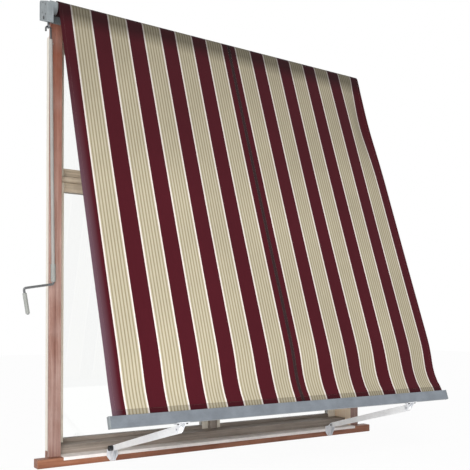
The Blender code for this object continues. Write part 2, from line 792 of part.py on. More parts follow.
def make_cloth():
    """The turns on the tube and the hanging sheet, which ends in a hem round the hem rod."""
    hang = pivot("cloth_hang", (0, ROLLER_AXIS_Y, ROLLER_AXIS_Z), (-CLOTH_SLOPE, 0, 0))
    radius = ROLL_RADIUS
    outside = -radius
    inside = -radius + CLOTH_THICKNESS
    half = CLOTH_THICKNESS / 2
    hem = (-CLOTH_MIDDLE, -CLOTH_DROP - GROOVE_DEPTH)
    meet = math.degrees(math.atan2(math.sqrt(radius**2 - inside**2), -inside))
    join = math.degrees(math.asin(half / HEM_RADIUS))
    loop = [
        *arc((0, 0), radius, 180, -180 + meet, 48),
        *arc(hem, HEM_RADIUS, 90 - join, -270 + join, 20),
        (outside, -0.004),
    ]
    turns = circle((0, 0), TUBE_RADIUS + FIT, 48)
    pocket = circle(hem, HEM_ROD_RADIUS + FIT, 16)
    profile("fabric", [loop, turns, pocket], CLOTH_WIDTH, CLOTH, hang, (ROLLER_MIDDLE, 0, 0))


def make_bar():
    """Slotted aluminium bar that pulls the cloth straight, its hem rod and its end caps."""
    pin = pivot("bar_pivot", (0, FORK_PIVOT_Y, FORK_PIVOT_Z), (-CLOTH_SLOPE, 0, 0))
    half = BAR_DEPTH / 2
    slot = BAR_SLOT / 2
    groove = (0, BAR_HEIGHT - GROOVE_DEPTH)
    edge = math.degrees(math.asin(slot / BAR_GROOVE_RADIUS))
    corner = 0.002

    def rounded_box(wide, tall, grow=0.0):
        r = corner + grow
        wide, tall = wide + grow, tall + grow
        return [
            *arc((-wide + r, -grow + r), r, 270, 180, 4),
            *arc((-wide + r, tall - r), r, 180, 90, 4),
            *arc((wide - r, tall - r), r, 90, 0, 4),
            *arc((wide - r, -grow + r), r, 0, -90, 4),
        ]

    outside = rounded_box(half, BAR_HEIGHT)
    top = 10  # the slot opens after the arcs of the first two corners
    mouth = [
        (-slot, BAR_HEIGHT),
        *arc(groove, BAR_GROOVE_RADIUS, 90 + edge, 450 - edge, 20),
        (slot, BAR_HEIGHT),
    ]
    section = outside[:top] + mouth + outside[top:]
    wide = half - BAR_WALL
    ceiling = BAR_HEIGHT - GROOVE_DEPTH - BAR_GROOVE_RADIUS - BAR_WALL
    chamber = [(-wide, BAR_WALL), (-wide, ceiling), (wide, ceiling), (wide, BAR_WALL)]
    place = (ROLLER_MIDDLE, -FORK_REACH, FORK_DROP)
    length = BAR_LENGTH - 2 * (CAP_THICKNESS + FIT)
    profile("front_bar", [section, chamber], length, ALLOY, pin, place)
    reach = BAR_LENGTH / 2 - CAP_THICKNESS / 2
    cap = rounded_box(half, BAR_HEIGHT, CAP_MARGIN)
    for name, side in (("bar_cap_left", -1), ("bar_cap_right", 1)):
        x = ROLLER_MIDDLE + side * reach
        profile(name, [cap], CAP_THICKNESS, GREY, pin, (x, -FORK_REACH, FORK_DROP))
    hem = (-FORK_REACH, FORK_DROP + groove[1])
    ends = [ROLLER_MIDDLE + side * CLOTH_WIDTH / 2 for side in (-1, 1)]
    rod("hem_rod", HEM_ROD_RADIUS, (ends[0], *hem), (ends[1], *hem), STEEL, pin, 12)
    return pin


def arm_outline(length):
    """Side view of an arm: a tapered bar with round ends and a pivot hole in each."""
    r0 = ARM_FOOT_DEPTH / 2
    r1 = ARM_FORK_DEPTH / 2
    tilt = math.degrees(math.asin((r1 - r0) / length))
    body = [
        *arc((0, 0), r0, 90 - tilt, -90 + tilt, 12),
        *arc((-length, 0), r1, -90 + tilt, -270 - tilt, 12),
    ]
    foot = circle((0, 0), BOLT_RADIUS + PIVOT_PLAY)
    fork = circle((-length, 0), FORK_PIN_RADIUS + PIVOT_PLAY)
    return [body, foot, fork]


def ears(name, loops, middle, finish, parent, seat):
    """Join a pair of ears to their plate, one each side of the arm."""
    for side in (-1, 1):
        x = middle + side * (EAR_INNER + EAR_THICKNESS / 2)
        ear = profile(f"{name}_ear_{side}", loops, EAR_THICKNESS, finish, parent, (x, 0, 0))
        combine(seat, ear, "UNION")


def make_arm(name, side, bar_pivot):
    """One arm with its foot bracket on the sill and its fork under the bar; side is -1 or 1."""
    foot_x = FOOT_MIDDLE + side * FOOT_SPACING / 2
    fork_x = FORK_MIDDLE + side * FORK_SPACING / 2
    swing = pivot(name + "_pivot", (foot_x, FOOT_PIVOT_Y, FOOT_PIVOT_Z))
    length = math.hypot(ARM_REACH, ARM_SHIFT[side])
    arm = profile(name, arm_outline(length), ARM_THICKNESS, PAINT, swing)
    arm = as_mesh(arm)
    lean = Matrix.Rotation(math.atan2(ARM_SHIFT[side], ARM_REACH), 4, "Z")
    rise = Matrix.Rotation(-ARM_RISE, 4, "X")
    arm.matrix_basis = rise @ lean @ arm.matrix_basis
    rounded(arm, ARM_EDGE)

    top, tip = FOOT_PLATE_WIDTH / 2, FOOT_PLATE_TIP / 2
    shape = [
        (-tip, FOOT_PLATE_BOTTOM),
        (-top, FOOT_PLATE_SHOULDER),
        (-top, FOOT_PLATE_TOP),
        (top, FOOT_PLATE_TOP),
        (top, FOOT_PLATE_SHOULDER),
        (tip, FOOT_PLATE_BOTTOM),
    ]
    front = FOOT_PIVOT_FACE - EAR_THICKNESS
    plate = profile(
        name.replace("arm", "foot_bracket"),
        [shape],
        EAR_THICKNESS,
        CAST,
        place=(foot_x, front + EAR_THICKNESS / 2, 0),
        facing=FACING_Y,
    )
    plate = as_mesh(plate)
    bite = front + EAR_THICKNESS / 2
    pin = (FOOT_PIVOT_Y, FOOT_PIVOT_Z)
    ear = [
        (bite, FOOT_PLATE_BOTTOM + 0.002),
        (bite - 0.012, FOOT_PLATE_BOTTOM + 0.002),
        *arc(pin, EAR_RADIUS, 210, 75, 12),
        (bite, FOOT_PLATE_TOP - 0.001),
    ]
    ears(plate.name, [ear, circle(pin, BOLT_RADIUS + FIT)], foot_x, CAST, None, plate)

    knob = side * (EAR_OUTER + FIT)
    tall = side * KNOB_HEIGHT
    inside = -side * (EAR_OUTER + PIN_HEAD)
    turned(
        name.replace("arm", "foot_bolt"),
        [
            (inside, 0),
            (inside, BOLT_RADIUS),
            (knob, BOLT_RADIUS),
            (knob, KNOB_RADIUS),
            (knob + tall - side * KNOB_EDGE, KNOB_RADIUS),
            (knob + tall - side * KNOB_EDGE * 0.3, KNOB_RADIUS - KNOB_EDGE * 0.3),
            (knob + tall, KNOB_RADIUS - KNOB_EDGE),
            (knob + tall, 0),
        ],
        BLACK,
        place=(foot_x, *pin),
    )

    seat = FORK_DROP - FIT
    low = (fork_x - FORK_PLATE_LENGTH / 2, -FORK_REACH - BAR_DEPTH / 2, seat - EAR_THICKNESS)
    high = (fork_x + FORK_PLATE_LENGTH / 2, -FORK_REACH + BAR_DEPTH, seat)
    fork = block(name.replace("arm", "bar_fork"), low, high, CAST, bar_pivot)
    bite = seat - EAR_THICKNESS / 2
    ear = [
        (low[1], bite),
        (high[1], bite),
        *arc((0, 0), EAR_RADIUS, 60, -120, 12),
    ]
    ears(fork.name, [ear, circle((0, 0), FORK_PIN_RADIUS + FIT)], fork_x, CAST, bar_pivot, fork)
    span = EAR_OUTER + PIN_HEAD
    rod(
        name.replace("arm", "fork_pin"),
        FORK_PIN_RADIUS,
        (fork_x - span, 0, 0),
        (fork_x + span, 0, 0),
        STEEL,
        bar_pivot,
    )
    for i, end in enumerate((-1, 1)):
        x = fork_x + end * FORK_BOLT_SPACING / 2
        y = -FORK_REACH
        head = seat - EAR_THICKNESS - FIT
        hole = rod(
            f"{name}_bolt_hole_{i}",
            FORK_BOLT_RADIUS + FIT,
            (x, y, head - 0.002),
            (x, y, seat + 0.002),
            CAST,
            bar_pivot,
        )
        combine(fork, hole, "DIFFERENCE")
        bolt = rod(
            f"{name.replace('arm', 'fork_bolt')}_{i + 1}",
            FORK_BOLT_HEAD,
            (x, y, head - FORK_BOLT_HEIGHT),
            (x, y, head),
            BLACK,
            bar_pivot,
            16,
        )
        shank = rod(
            bolt.name + "_shank",
            FORK_BOLT_RADIUS,
            (x, y, head - FORK_BOLT_HEIGHT / 2),
            (x, y, seat),
            BLACK,
            bar_pivot,
            16,
        )
        combine(bolt, shank, "UNION")


def make_crank():
    """Crank that hangs by its hook from the worm's eye, its tube, sleeve, lever and turning grip."""
    sag = HOOK_HALF_WIDTH - math.sqrt(HOOK_HALF_WIDTH**2 - EYE_THICKNESS**2 / 4)
    seat = EYE_Z - EYE_HOLE + HOOK_WIRE + sag + FIT
    hang = pivot("crank_hang", (WHEEL_X, WORM_Y, seat), (0, -CRANK_LEAN, 0))
    x = HOOK_HALF_WIDTH
    over = arc((0, -x), x, 0, 180, 12)
    start = -x - HOOK_SHANK
    path = [(x, start), *over, (-x, -x - HOOK_TIP)]
    wire("crank_hook", [(a, 0, b) for a, b in path], HOOK_WIRE, STEEL, hang)

    top = start + HOOK_INSERT
    bottom = top - CRANK_LENGTH
    middle = (top + bottom) / 2
    bore = HOOK_WIRE + FIT
    ring = [circle((0, 0), CRANK_TUBE_RADIUS), circle((0, 0), bore, 16)]
    profile("crank_tube", ring, CRANK_LENGTH, PAINT, hang, (x, 0, middle), FACING_Z)
    ring = [circle((0, 0), SLEEVE_RADIUS), circle((0, 0), CRANK_TUBE_RADIUS + FIT)]
    low = bottom + 0.002
    place = (x, 0, low + SLEEVE_LENGTH / 2)
    profile("crank_sleeve", ring, SLEEVE_LENGTH, GREY, hang, place, FACING_Z)

    across = (-math.cos(LEVER_BEND), -math.sin(LEVER_BEND))
    down = (math.sin(LEVER_BEND), -math.cos(LEVER_BEND))
    elbow = (x, bottom - FIT - LEVER_NECK)
    wrist = tuple(elbow[k] + across[k] * LEVER_LENGTH for k in range(2))
    tail = GRIP_FROM_LEVER + GRIP_LENGTH + LEVER_TAIL
    end = tuple(wrist[k] + down[k] * tail for k in range(2))
    path = [
        (x, bottom - FIT),
        *bend(elbow, (0, -1), across, LEVER_NECK * 0.9),
        *bend(wrist, across, down, LEVER_CORNER),
        end,
    ]
    wire("crank_lever", [(a, 0, b) for a, b in path], LEVER_WIRE, CAST, hang)
    half = GRIP_FROM_LEVER + GRIP_LENGTH / 2
    place = tuple(wrist[k] + down[k] * half for k in range(2))
    ring = [circle((0, 0), GRIP_RADIUS), circle((0, 0), LEVER_WIRE + FIT)]
    grip = profile("crank_grip", ring, GRIP_LENGTH, GREY, hang, (place[0], 0, place[1]), FACING_Z)
    grip.rotation_euler = (0, -LEVER_BEND, 0)


make_window_frame()
make_sill()
make_lights()
make_gear()
make_roller()
make_right_bracket()
make_cloth()
BAR_PIVOT = make_bar()
make_arm("left_arm", -1, BAR_PIVOT)
make_arm("right_arm", 1, BAR_PIVOT)
make_crank()
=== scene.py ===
# %% [markdown]
# # A striped drop-arm awning on its window frame
#
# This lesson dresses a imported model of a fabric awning. The solids of the wood, metal, glass and
# plastic parts come with the model and already have their true shapes, so they only need finishes.
# The cloth, the stitching and the small fittings are modelled here. Every piece rides on the body
# that carries it, so the awning can still open and close.

# %% Load the frame
import json
import math

import bmesh
import bpy
from mathutils import Matrix, Vector


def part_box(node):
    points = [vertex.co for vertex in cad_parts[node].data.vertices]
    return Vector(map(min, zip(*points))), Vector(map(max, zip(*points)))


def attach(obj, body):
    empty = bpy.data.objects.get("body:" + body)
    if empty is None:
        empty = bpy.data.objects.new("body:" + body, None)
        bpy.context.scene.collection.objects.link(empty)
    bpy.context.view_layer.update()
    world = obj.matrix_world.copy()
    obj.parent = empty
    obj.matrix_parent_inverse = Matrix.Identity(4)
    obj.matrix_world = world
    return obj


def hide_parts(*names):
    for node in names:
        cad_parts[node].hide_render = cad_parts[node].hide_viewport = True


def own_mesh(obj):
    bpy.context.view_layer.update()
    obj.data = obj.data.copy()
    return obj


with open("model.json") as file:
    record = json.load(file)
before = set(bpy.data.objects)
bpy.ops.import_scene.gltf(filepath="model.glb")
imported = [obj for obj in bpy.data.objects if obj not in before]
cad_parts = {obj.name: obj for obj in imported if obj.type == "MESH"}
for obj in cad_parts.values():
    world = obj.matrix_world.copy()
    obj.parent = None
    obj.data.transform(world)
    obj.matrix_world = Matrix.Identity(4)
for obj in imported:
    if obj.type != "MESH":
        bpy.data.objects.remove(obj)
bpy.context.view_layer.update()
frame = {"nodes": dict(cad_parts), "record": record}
scene = bpy.context.scene

# %% [markdown]
# ## Where the camera stands
#
# The awning was seen from the left and from below its middle, with the lens slid upwards, as an
# architect's camera does, so that upright edges stay upright. A tilted camera would make them lean
# together, so this one is all but level and has a vertical shift. Its place and lens were worked
# out from the bar, the stripes, the frame and the sill.

# %% Camera
FOCAL_LENGTH, UPWARD_SHIFT = 53.79, 0.161
CAMERA_PLACE = (-2.1595, -3.392, 0.7065)
CAMERA_TILT, CAMERA_HEADING = math.radians(90.974), math.radians(-33.308)
lens = bpy.data.cameras.new("camera")
lens.lens = FOCAL_LENGTH
lens.sensor_width = 36
lens.shift_y = UPWARD_SHIFT
lens.clip_start, lens.clip_end = 0.05, 100
camera = bpy.data.objects.new("camera", lens)
camera.location = CAMERA_PLACE
camera.rotation_euler = (CAMERA_TILT, 0, CAMERA_HEADING)
scene.collection.objects.link(camera)
scene.camera = camera
scene.view_settings.view_transform = "Standard"
print("camera stands", round((camera.location - Vector((0, 0, 1))).length, 2), "m from the middle")

# %% [markdown]
# ## Small helpers for node trees
#
# A finish is a tree of nodes. It could be wired line by line, but most lines would say the same.
# So small helpers add a node and fill in its sockets, with a number, a colour or the output of
# another node, and turn a colour in steps of 0 to 255 into the linear light of the shader.


# %% Node helpers
def linear(red, green, blue):
    """A colour in steps of 0 to 255 as linear light, with nothing see-through."""
    steps = [value / 255 for value in (red, green, blue)]
    return (*[s / 12.92 if s <= 0.04045 else ((s + 0.055) / 1.055) ** 2.4 for s in steps], 1.0)


def add(tree, kind, inputs=None, **settings):
    """A new node with its settings and its sockets filled, by name or by number."""
    node = tree.nodes.new("ShaderNode" + kind)
    for name, value in settings.items():
        setattr(node, name, value)
    for socket, value in (inputs or {}).items():
        if isinstance(value, bpy.types.NodeSocket):
            tree.links.new(value, node.inputs[socket])
        else:
            node.inputs[socket].default_value = value
    return node


def calculate(tree, operation, *values):
    """The outcome of one sum on numbers or sockets."""
    return add(tree, "Math", dict(enumerate(values)), operation=operation).outputs[0]


def fade(tree, value, start, end, low=0.0, high=1.0):
    """Value from start to end becomes low to high, and stays there beyond them."""
    sockets = {"Value": value, "From Min": start, "From Max": end, "To Min": low, "To Max": high}
    return add(tree, "MapRange", sockets).outputs["Result"]


MIX_SHARE, MIX_FIRST, MIX_SECOND, MIX_RESULT = 0, 6, 7, 2


def blend_colours(tree, share, first, second, way="MIX"):
    """First becomes second as share goes from 0 to 1; the Mix node numbers its colour sockets."""
    sockets = {MIX_SHARE: share, MIX_FIRST: first, MIX_SECOND: second}
    return add(tree, "Mix", sockets, data_type="RGBA", blend_type=way).outputs[MIX_RESULT]


def overlay(tree, colour, mask, share, top):
    """Lays another colour over the first by a share of a mask."""
    return blend_colours(tree, calculate(tree, "MULTIPLY", mask, share), colour, top)


def noise(tree, place, scale, detail, stretch=None, distortion=0.0):
    """Noise of about so many bumps a metre; a stretch of each axis draws it out."""
    if stretch:
        place = add(tree, "Mapping", {"Vector": place, "Scale": stretch}).outputs[0]
    inputs = {"Vector": place, "Scale": scale, "Detail": detail, "Distortion": distortion}
    return add(tree, "TexNoise", inputs).outputs["Fac"]


def shaded(colour, share):
    """A colour's steps times a share, as linear light."""
    return linear(*[value * share for value in colour])


def paler(colour, share, towards=235):
    """A colour part of the way to a pale grey, as linear light."""
    return linear(*[value + (towards - value) * share for value in colour])


def new_group(name, inputs, outputs):
    """A node group with named sockets, and its two end nodes."""
    tree = bpy.data.node_groups.new(name, "ShaderNodeTree")
    kinds = {"value": "NodeSocketFloat", "colour": "NodeSocketColor", "vector": "NodeSocketVector"}
    for socket, kind in inputs.items():
        tree.interface.new_socket(name=socket, in_out="INPUT", socket_type=kinds[kind])
    for socket, kind in outputs.items():
        tree.interface.new_socket(name=socket, in_out="OUTPUT", socket_type=kinds[kind])
    return tree, tree.nodes.new("NodeGroupInput").outputs, tree.nodes.new("NodeGroupOutput").inputs


def use(tree, group, **inputs):
    """A group placed in a material, with its sockets filled; underscores stand for spaces."""
    node = tree.nodes.new("ShaderNodeGroup")
    node.node_tree = group
    for name, value in inputs.items():
        socket = node.inputs[name.replace("_", " ")]
        if isinstance(value, bpy.types.NodeSocket):
            tree.links.new(value, socket)
        else:
            socket.default_value = value
    return node.outputs


def new_finish(name, roughness, metallic=0.0, shine=0.5):
    """A material, its tree, its shader and its Object coordinates."""
    made = bpy.data.materials.new(name)
    made.use_nodes = True
    tree = made.node_tree
    shader = tree.nodes["Principled BSDF"]
    shader.inputs["Roughness"].default_value = roughness
    shader.inputs["Metallic"].default_value = metallic
    shader.inputs["Specular IOR Level"].default_value = shine
    place = add(tree, "TexCoord").outputs["Object"]
    return made, tree, shader, place


def relief(tree, shader, height, depth, strength):
    """Small relief on a surface; depth is in metres."""
    bump = add(tree, "Bump", {"Height": height, "Distance": depth, "Strength": strength})
    tree.links.new(bump.outputs["Normal"], shader.inputs["Normal"])


print("pale grey is", [round(value, 3) for value in linear(200, 200, 200)[:3]])

# %% [markdown]
# ## Effects that several finishes share
#
# Real parts aren't one even colour. Four effects come back in many finishes, so each is a group:
# soft smudges of dirt and handling, wear where edges are rubbed, the grain of sawn wood, and the
# over and under of woven thread. Photographs of such surfaces would do too, but they repeat, and
# noise that is measured in metres keeps its scale on a part of any size.


# %% Smudges
smudges, given, give = new_group(
    "smudges", {"Place": "vector", "Size": "value"}, {"Cloud": "value", "Speck": "value"}
)
SPECKS_PER_CLOUD = 22.0
scale = calculate(smudges, "DIVIDE", 1.0, given["Size"])
fine = calculate(smudges, "MULTIPLY", scale, SPECKS_PER_CLOUD)
cloud = noise(smudges, given["Place"], scale, 4.0)
speck = noise(smudges, given["Place"], fine, 2.0)
smudges.links.new(fade(smudges, cloud, 0.35, 0.65), give["Cloud"])
smudges.links.new(fade(smudges, speck, 0.58, 0.72), give["Speck"])
print("smudges puts out", [socket.name for socket in give if socket.name])

# %% Edge wear
edge_wear, given, give = new_group(
    "edge wear", {"Place": "vector", "Reach": "value", "Patchiness": "value"}, {"Mask": "value"}
)
STILL_FLAT, FULLY_WORN = 0.995, 0.90
softened = add(edge_wear, "Bevel", {"Radius": given["Reach"]}, samples=4)
sharp = add(edge_wear, "NewGeometry").outputs["Normal"]
turned_by = add(
    edge_wear, "VectorMath", {0: softened.outputs["Normal"], 1: sharp}, operation="DOT_PRODUCT"
)
edge = fade(edge_wear, turned_by.outputs["Value"], STILL_FLAT, FULLY_WORN)
uneven = fade(edge_wear, noise(edge_wear, given["Place"], 45.0, 5.0), 0.35, 0.60)
even = calculate(edge_wear, "SUBTRACT", 1.0, given["Patchiness"])
kept = calculate(edge_wear, "MULTIPLY_ADD", uneven, given["Patchiness"], even)
edge_wear.links.new(calculate(edge_wear, "MULTIPLY", edge, kept), give["Mask"])
print("edge wear puts out", [socket.name for socket in give if socket.name])

# %% Wood grain
grain, given, give = new_group(
    "wood grain", {"Place": "vector"}, {"Figure": "value", "Fibre": "value", "Pores": "value"}
)
drift = noise(grain, given["Place"], 1.6, 5.0, (1.1, 26.0, 26.0), distortion=0.4)
streak = noise(grain, given["Place"], 1.0, 4.0, (2.4, 110.0, 110.0))
fibre = noise(grain, given["Place"], 1.0, 3.0, (5.0, 420.0, 420.0))
pore = noise(grain, given["Place"], 1.0, 1.0, (38.0, 900.0, 900.0))
drift_share = calculate(grain, "MULTIPLY", drift, 0.55)
grain.links.new(calculate(grain, "MULTIPLY_ADD", streak, 0.45, drift_share), give["Figure"])
grain.links.new(fibre, give["Fibre"])
grain.links.new(fade(grain, pore, 0.60, 0.72), give["Pores"])
print("wood grain puts out", [socket.name for socket in give if socket.name])

# %% Weave
weave, given, give = new_group(
    "weave", {"Place": "vector", "Pitch": "value"}, {"Height": "value", "Slub": "value"}
)
threads = calculate(weave, "DIVIDE", math.pi, given["Pitch"])
spread = add(weave, "SeparateXYZ", {"Vector": given["Place"]})
across, along = [
    calculate(weave, "SINE", calculate(weave, "MULTIPLY", spread.outputs[axis], threads))
    for axis in ("X", "Y")
]
over = calculate(weave, "MULTIPLY", across, along)
weave.links.new(calculate(weave, "MULTIPLY_ADD", over, 0.5, 0.5), give["Height"])
slub = noise(weave, given["Place"], 1.0, 2.0, (900.0, 14.0, 1.0))
weave.links.new(slub, give["Slub"])
print("weave puts out", [socket.name for socket in give if socket.name])

# %% [markdown]
# ## Wood
#
# The frame is softwood with a red-brown stain that has weathered: darker where the stain pooled in
# the soft grain, paler and pinker where the sun took it. The grain runs along each board, so the
# finish is made once for upright boards and once for level ones, with the pattern turned.
#
# The jambs have a darker foot, which is painted shade, an upper part that kept the deep umber of
# the stain, much paler inner sides, and raw outer sides, which are built in. Such zones could be
# materials on chosen faces, but a CAD solid's mesh stays as it is, so they are told apart by their
# place.

# %% Sides of the jambs
JAMB_INNER_FACE, JAMB_OUTER_FACE, CASING_BACK = 0.9632, 0.9775, 0.0183
PALE_SIDE = ((250, 232, 208), (240, 208, 176))
RAW_SIDE = ((250, 244, 232), (240, 228, 208))
print("the lining is", round(JAMB_OUTER_FACE - JAMB_INNER_FACE, 4), "m thick")


def jamb_sides(tree, place, figure, colour):
    """Pale inner sides and raw outer sides over the colour of the board."""
    axes = add(tree, "SeparateXYZ", {"Vector": place}).outputs
    streak = fade(tree, figure, 0.35, 0.65, 0.0, 0.5)
    side = calculate(tree, "ABSOLUTE", axes["X"])
    inside = calculate(tree, "LESS_THAN", side, JAMB_INNER_FACE)
    soft = blend_colours(tree, streak, *[linear(*shade) for shade in PALE_SIDE])
    colour = blend_colours(tree, inside, colour, soft)
    behind = calculate(tree, "GREATER_THAN", axes["Y"], CASING_BACK)
    outside = calculate(tree, "GREATER_THAN", side, JAMB_OUTER_FACE)
    raw = blend_colours(tree, streak, *[linear(*shade) for shade in RAW_SIDE])
    return blend_colours(tree, calculate(tree, "MULTIPLY", behind, outside), colour, raw)


# %% Height on the jambs
RAW_UMBER = (132, 66, 38)
UMBER_FROM, UMBER_TO = 1.25, 2.1
# Painted shade: the jamb is darkest below the first level and not darkened above the second.
PAINTED_FOOT_SHADE_TO, NO_FOOT_SHADE_FROM = 0.2, 1.0


def umber_and_painted_foot_shade(tree, place, cloud, figure, colour, dark):
    """Umber towards the top of the board, in patches, and a darker foot of painted shade."""
    level = add(tree, "SeparateXYZ", {"Vector": place}).outputs["Z"]
    mottle = calculate(tree, "MULTIPLY_ADD", cloud, 0.5, level)
    above = fade(tree, mottle, UMBER_FROM, UMBER_TO, 0.0, 0.75)
    colour = blend_colours(tree, above, colour, linear(*RAW_UMBER))
    mottled = calculate(tree, "MULTIPLY", fade(tree, figure, 0.40, 0.62, 0.0, 0.5), above)
    colour = blend_colours(tree, mottled, colour, shaded(RAW_UMBER, 1.3))
    # painted shade at the foot of the jamb
    foot = fade(tree, level, PAINTED_FOOT_SHADE_TO, NO_FOOT_SHADE_FROM, 0.30, 0.0)
    return blend_colours(tree, foot, colour, shaded(dark, 0.6))


# The darker foot is painted shade.
print("umber starts", UMBER_FROM, "m up, and the painted_shade foot ends", NO_FOOT_SHADE_FROM, "m up")


# %% Wood finish
def wood(name, shades, upright, roughness=0.42, jamb=False):
    """Grain shades dark, middle and light; a jamb adds umber, painted foot shade and pale sides."""
    dark, middle, light = shades
    made, tree, shader, place = new_finish(name, roughness)
    turn = {"Vector": place, "Rotation": (0, math.radians(90) if upright else 0, 0)}
    along = add(tree, "Mapping", turn, vector_type="POINT").outputs[0]
    figure, fibre, pores = use(tree, grain, Place=along)
    cloud = use(tree, smudges, Place=along, Size=0.16)["Cloud"]
    worn = use(tree, edge_wear, Place=along, Reach=0.003, Patchiness=0.7)["Mask"]
    ramp = add(tree, "ValToRGB", {"Fac": figure})
    ramp.color_ramp.elements[0].position = 0.36
    ramp.color_ramp.elements[0].color = linear(*dark)
    ramp.color_ramp.elements[1].position = 0.66
    ramp.color_ramp.elements[1].color = linear(*light)
    ramp.color_ramp.elements.new(0.50).color = linear(*middle)
    colour = ramp.outputs["Color"]
    if jamb:
        colour = umber_and_painted_foot_shade(tree, place, cloud, figure, colour, dark)
    colour = blend_colours(tree, fade(tree, fibre, 0.35, 0.7, 0.0, 0.30), colour, linear(*dark))
    pale = paler(light, 0.30)
    colour = overlay(tree, colour, cloud, 0.22, pale)
    colour = overlay(tree, colour, pores, 0.35, shaded(dark, 0.5))
    colour = overlay(tree, colour, worn, 0.45, pale)
    if jamb:
        colour = jamb_sides(tree, place, figure, colour)
    tree.links.new(colour, shader.inputs["Base Color"])
    rough = calculate(tree, "MULTIPLY_ADD", cloud, 0.16, roughness)
    rough = calculate(tree, "ADD", rough, calculate(tree, "MULTIPLY", worn, 0.2))
    tree.links.new(rough, shader.inputs["Roughness"])
    relief(tree, shader, calculate(tree, "SUBTRACT", fibre, pores), 0.0004, 0.6)
    return made


# %% Woods of the frame
STAIN = ((124, 84, 72), (164, 126, 114), (200, 172, 162))
SILL_STAIN = ((96, 50, 30), (132, 76, 48), (156, 102, 74))
GREYED = ((108, 98, 88), (138, 127, 117), (166, 154, 143))
# Painted light: the level bare wood is much lighter than the rail wood, lifting the shade that the
# cloth casts on the transom.
PAINTED_LIGHT_GREY = ((160, 144, 124), (196, 180, 158), (220, 206, 186))
CREAM_COAT = ((214, 204, 186), (232, 224, 208), (242, 236, 224))
stained = {
    True: wood("stained_wood_upright", STAIN, True, jamb=True),
    False: wood("stained_wood_level", SILL_STAIN, False),
}
greyed = {up: wood(f"greyed_wood_{up}", GREYED, up, 0.5) for up in (True, False)}
bare = {
    True: wood("bare_wood_upright", CREAM_COAT, True, 0.5),
    False: wood("bare_wood_level_painted_light", PAINTED_LIGHT_GREY, False, 0.5),
}
print("wood finishes:", [made.name for made in bpy.data.materials if "wood" in made.name])

# %% [markdown]
# ## Glass
#
# The panes are plain float glass. A mostly see-through surface would look near enough from the
# front, but a solid pane that bends the light also gets the darker edge and the double reflection
# of real glass. Roughness that varies a little stands for old rain.

# %% Glass finish
glass, tree, shader, place = new_finish("pane_glass", 0.02)
shader.inputs["Base Color"].default_value = linear(254, 255, 254)
shader.inputs["Transmission Weight"].default_value = 1.0
shader.inputs["IOR"].default_value = 1.45
cloud = use(tree, smudges, Place=place, Size=0.5)["Cloud"]
tree.links.new(calculate(tree, "MULTIPLY", cloud, 0.02), shader.inputs["Roughness"])
print("glass transmits", shader.inputs["Transmission Weight"].default_value)

# %% [markdown]
# ## Metal and paint
#
# The front bar is extruded aluminium with a satin anodised coat: fine draw lines run along it. The
# gear housing and its plates are cast in zinc alloy and left rough. The arms and the crank's tube
# are powder coated white, which dries with the skin of an orange. Shafts, pins and hinges are
# plated steel. Each could be one plain metal, but then every part would look new and cut from the
# same block, so one function gives them smudges, rubbed edges, and draw lines or casting pits.


# %% Metal finish
def metal(name, base, roughness, drawn=None, cast=0.0, metallic=1.0):
    """Drawn is how the lines of the metal run, as a stretch of each axis; cast is pit depth."""
    made, tree, shader, place = new_finish(name, roughness, metallic)
    cloud, speck = use(tree, smudges, Place=place, Size=0.07)
    worn = use(tree, edge_wear, Place=place, Reach=0.0015, Patchiness=0.5)["Mask"]
    dull, bright, grime = shaded(base, 0.86), paler(base, 0.4, towards=245), shaded(base, 0.55)
    colour = overlay(tree, linear(*base), cloud, 0.6, dull)
    colour = overlay(tree, colour, worn, 0.6, bright)
    colour = overlay(tree, colour, speck, 0.25, grime)
    rough = calculate(tree, "MULTIPLY_ADD", cloud, 0.12, roughness)
    if drawn:
        lines = noise(tree, place, 1.0, 2.0, drawn)
        colour = blend_colours(tree, fade(tree, lines, 0.3, 0.7, 0.0, 0.12), colour, grime)
        relief(tree, shader, lines, 0.0001, 0.5)
    if cast:
        relief(tree, shader, noise(tree, place, 700.0, 3.0), cast, 0.8)
    tree.links.new(colour, shader.inputs["Base Color"])
    tree.links.new(rough, shader.inputs["Roughness"])
    return made


# %% Metals of the awning
DRAWN_FINE, ROLLED = (3.0, 900.0, 900.0), (3.0, 500.0, 500.0)
satin_aluminium = metal("satin_aluminium", (142, 149, 157), 0.38, DRAWN_FINE, metallic=0.85)
pale_flashing = metal("pale_flashing", (252, 246, 242), 0.5, ROLLED, metallic=0.0)
cast_alloy = metal("cast_alloy", (148, 155, 158), 0.48, cast=0.0006, metallic=0.55)
bright_cast = metal("bright_cast", (232, 234, 238), 0.36, cast=0.0003, metallic=0.25)
plated_steel = metal("plated_steel", (176, 178, 180), 0.28, metallic=1.0)
dark_steel = metal("dark_steel", (92, 94, 96), 0.36, metallic=0.9)
lever_steel = metal("lever_steel", (132, 134, 136), 0.34, metallic=0.7)
print("metals:", satin_aluminium.name, cast_alloy.name, bright_cast.name, plated_steel.name)


# %% Painted and moulded finishes
def skin(name, base, roughness, peel, worn_to, wear=0.5):
    """Paint or plastic: one colour, a fine skin (bumps a metre, depth) and rubbed edges."""
    made, tree, shader, place = new_finish(name, roughness)
    cloud, speck = use(tree, smudges, Place=place, Size=0.09)
    worn = use(tree, edge_wear, Place=place, Reach=0.0012, Patchiness=0.8)["Mask"]
    soiled, spot = shaded(base, 0.90), shaded(base, 0.6)
    colour = overlay(tree, linear(*base), cloud, 0.5, soiled)
    colour = overlay(tree, colour, speck, 0.18, spot)
    colour = overlay(tree, colour, worn, wear, linear(*worn_to))
    tree.links.new(colour, shader.inputs["Base Color"])
    rough = calculate(tree, "MULTIPLY_ADD", cloud, 0.1, roughness)
    tree.links.new(rough, shader.inputs["Roughness"])
    relief(tree, shader, noise(tree, place, peel[0], 1.0), peel[1], 0.5)
    return made


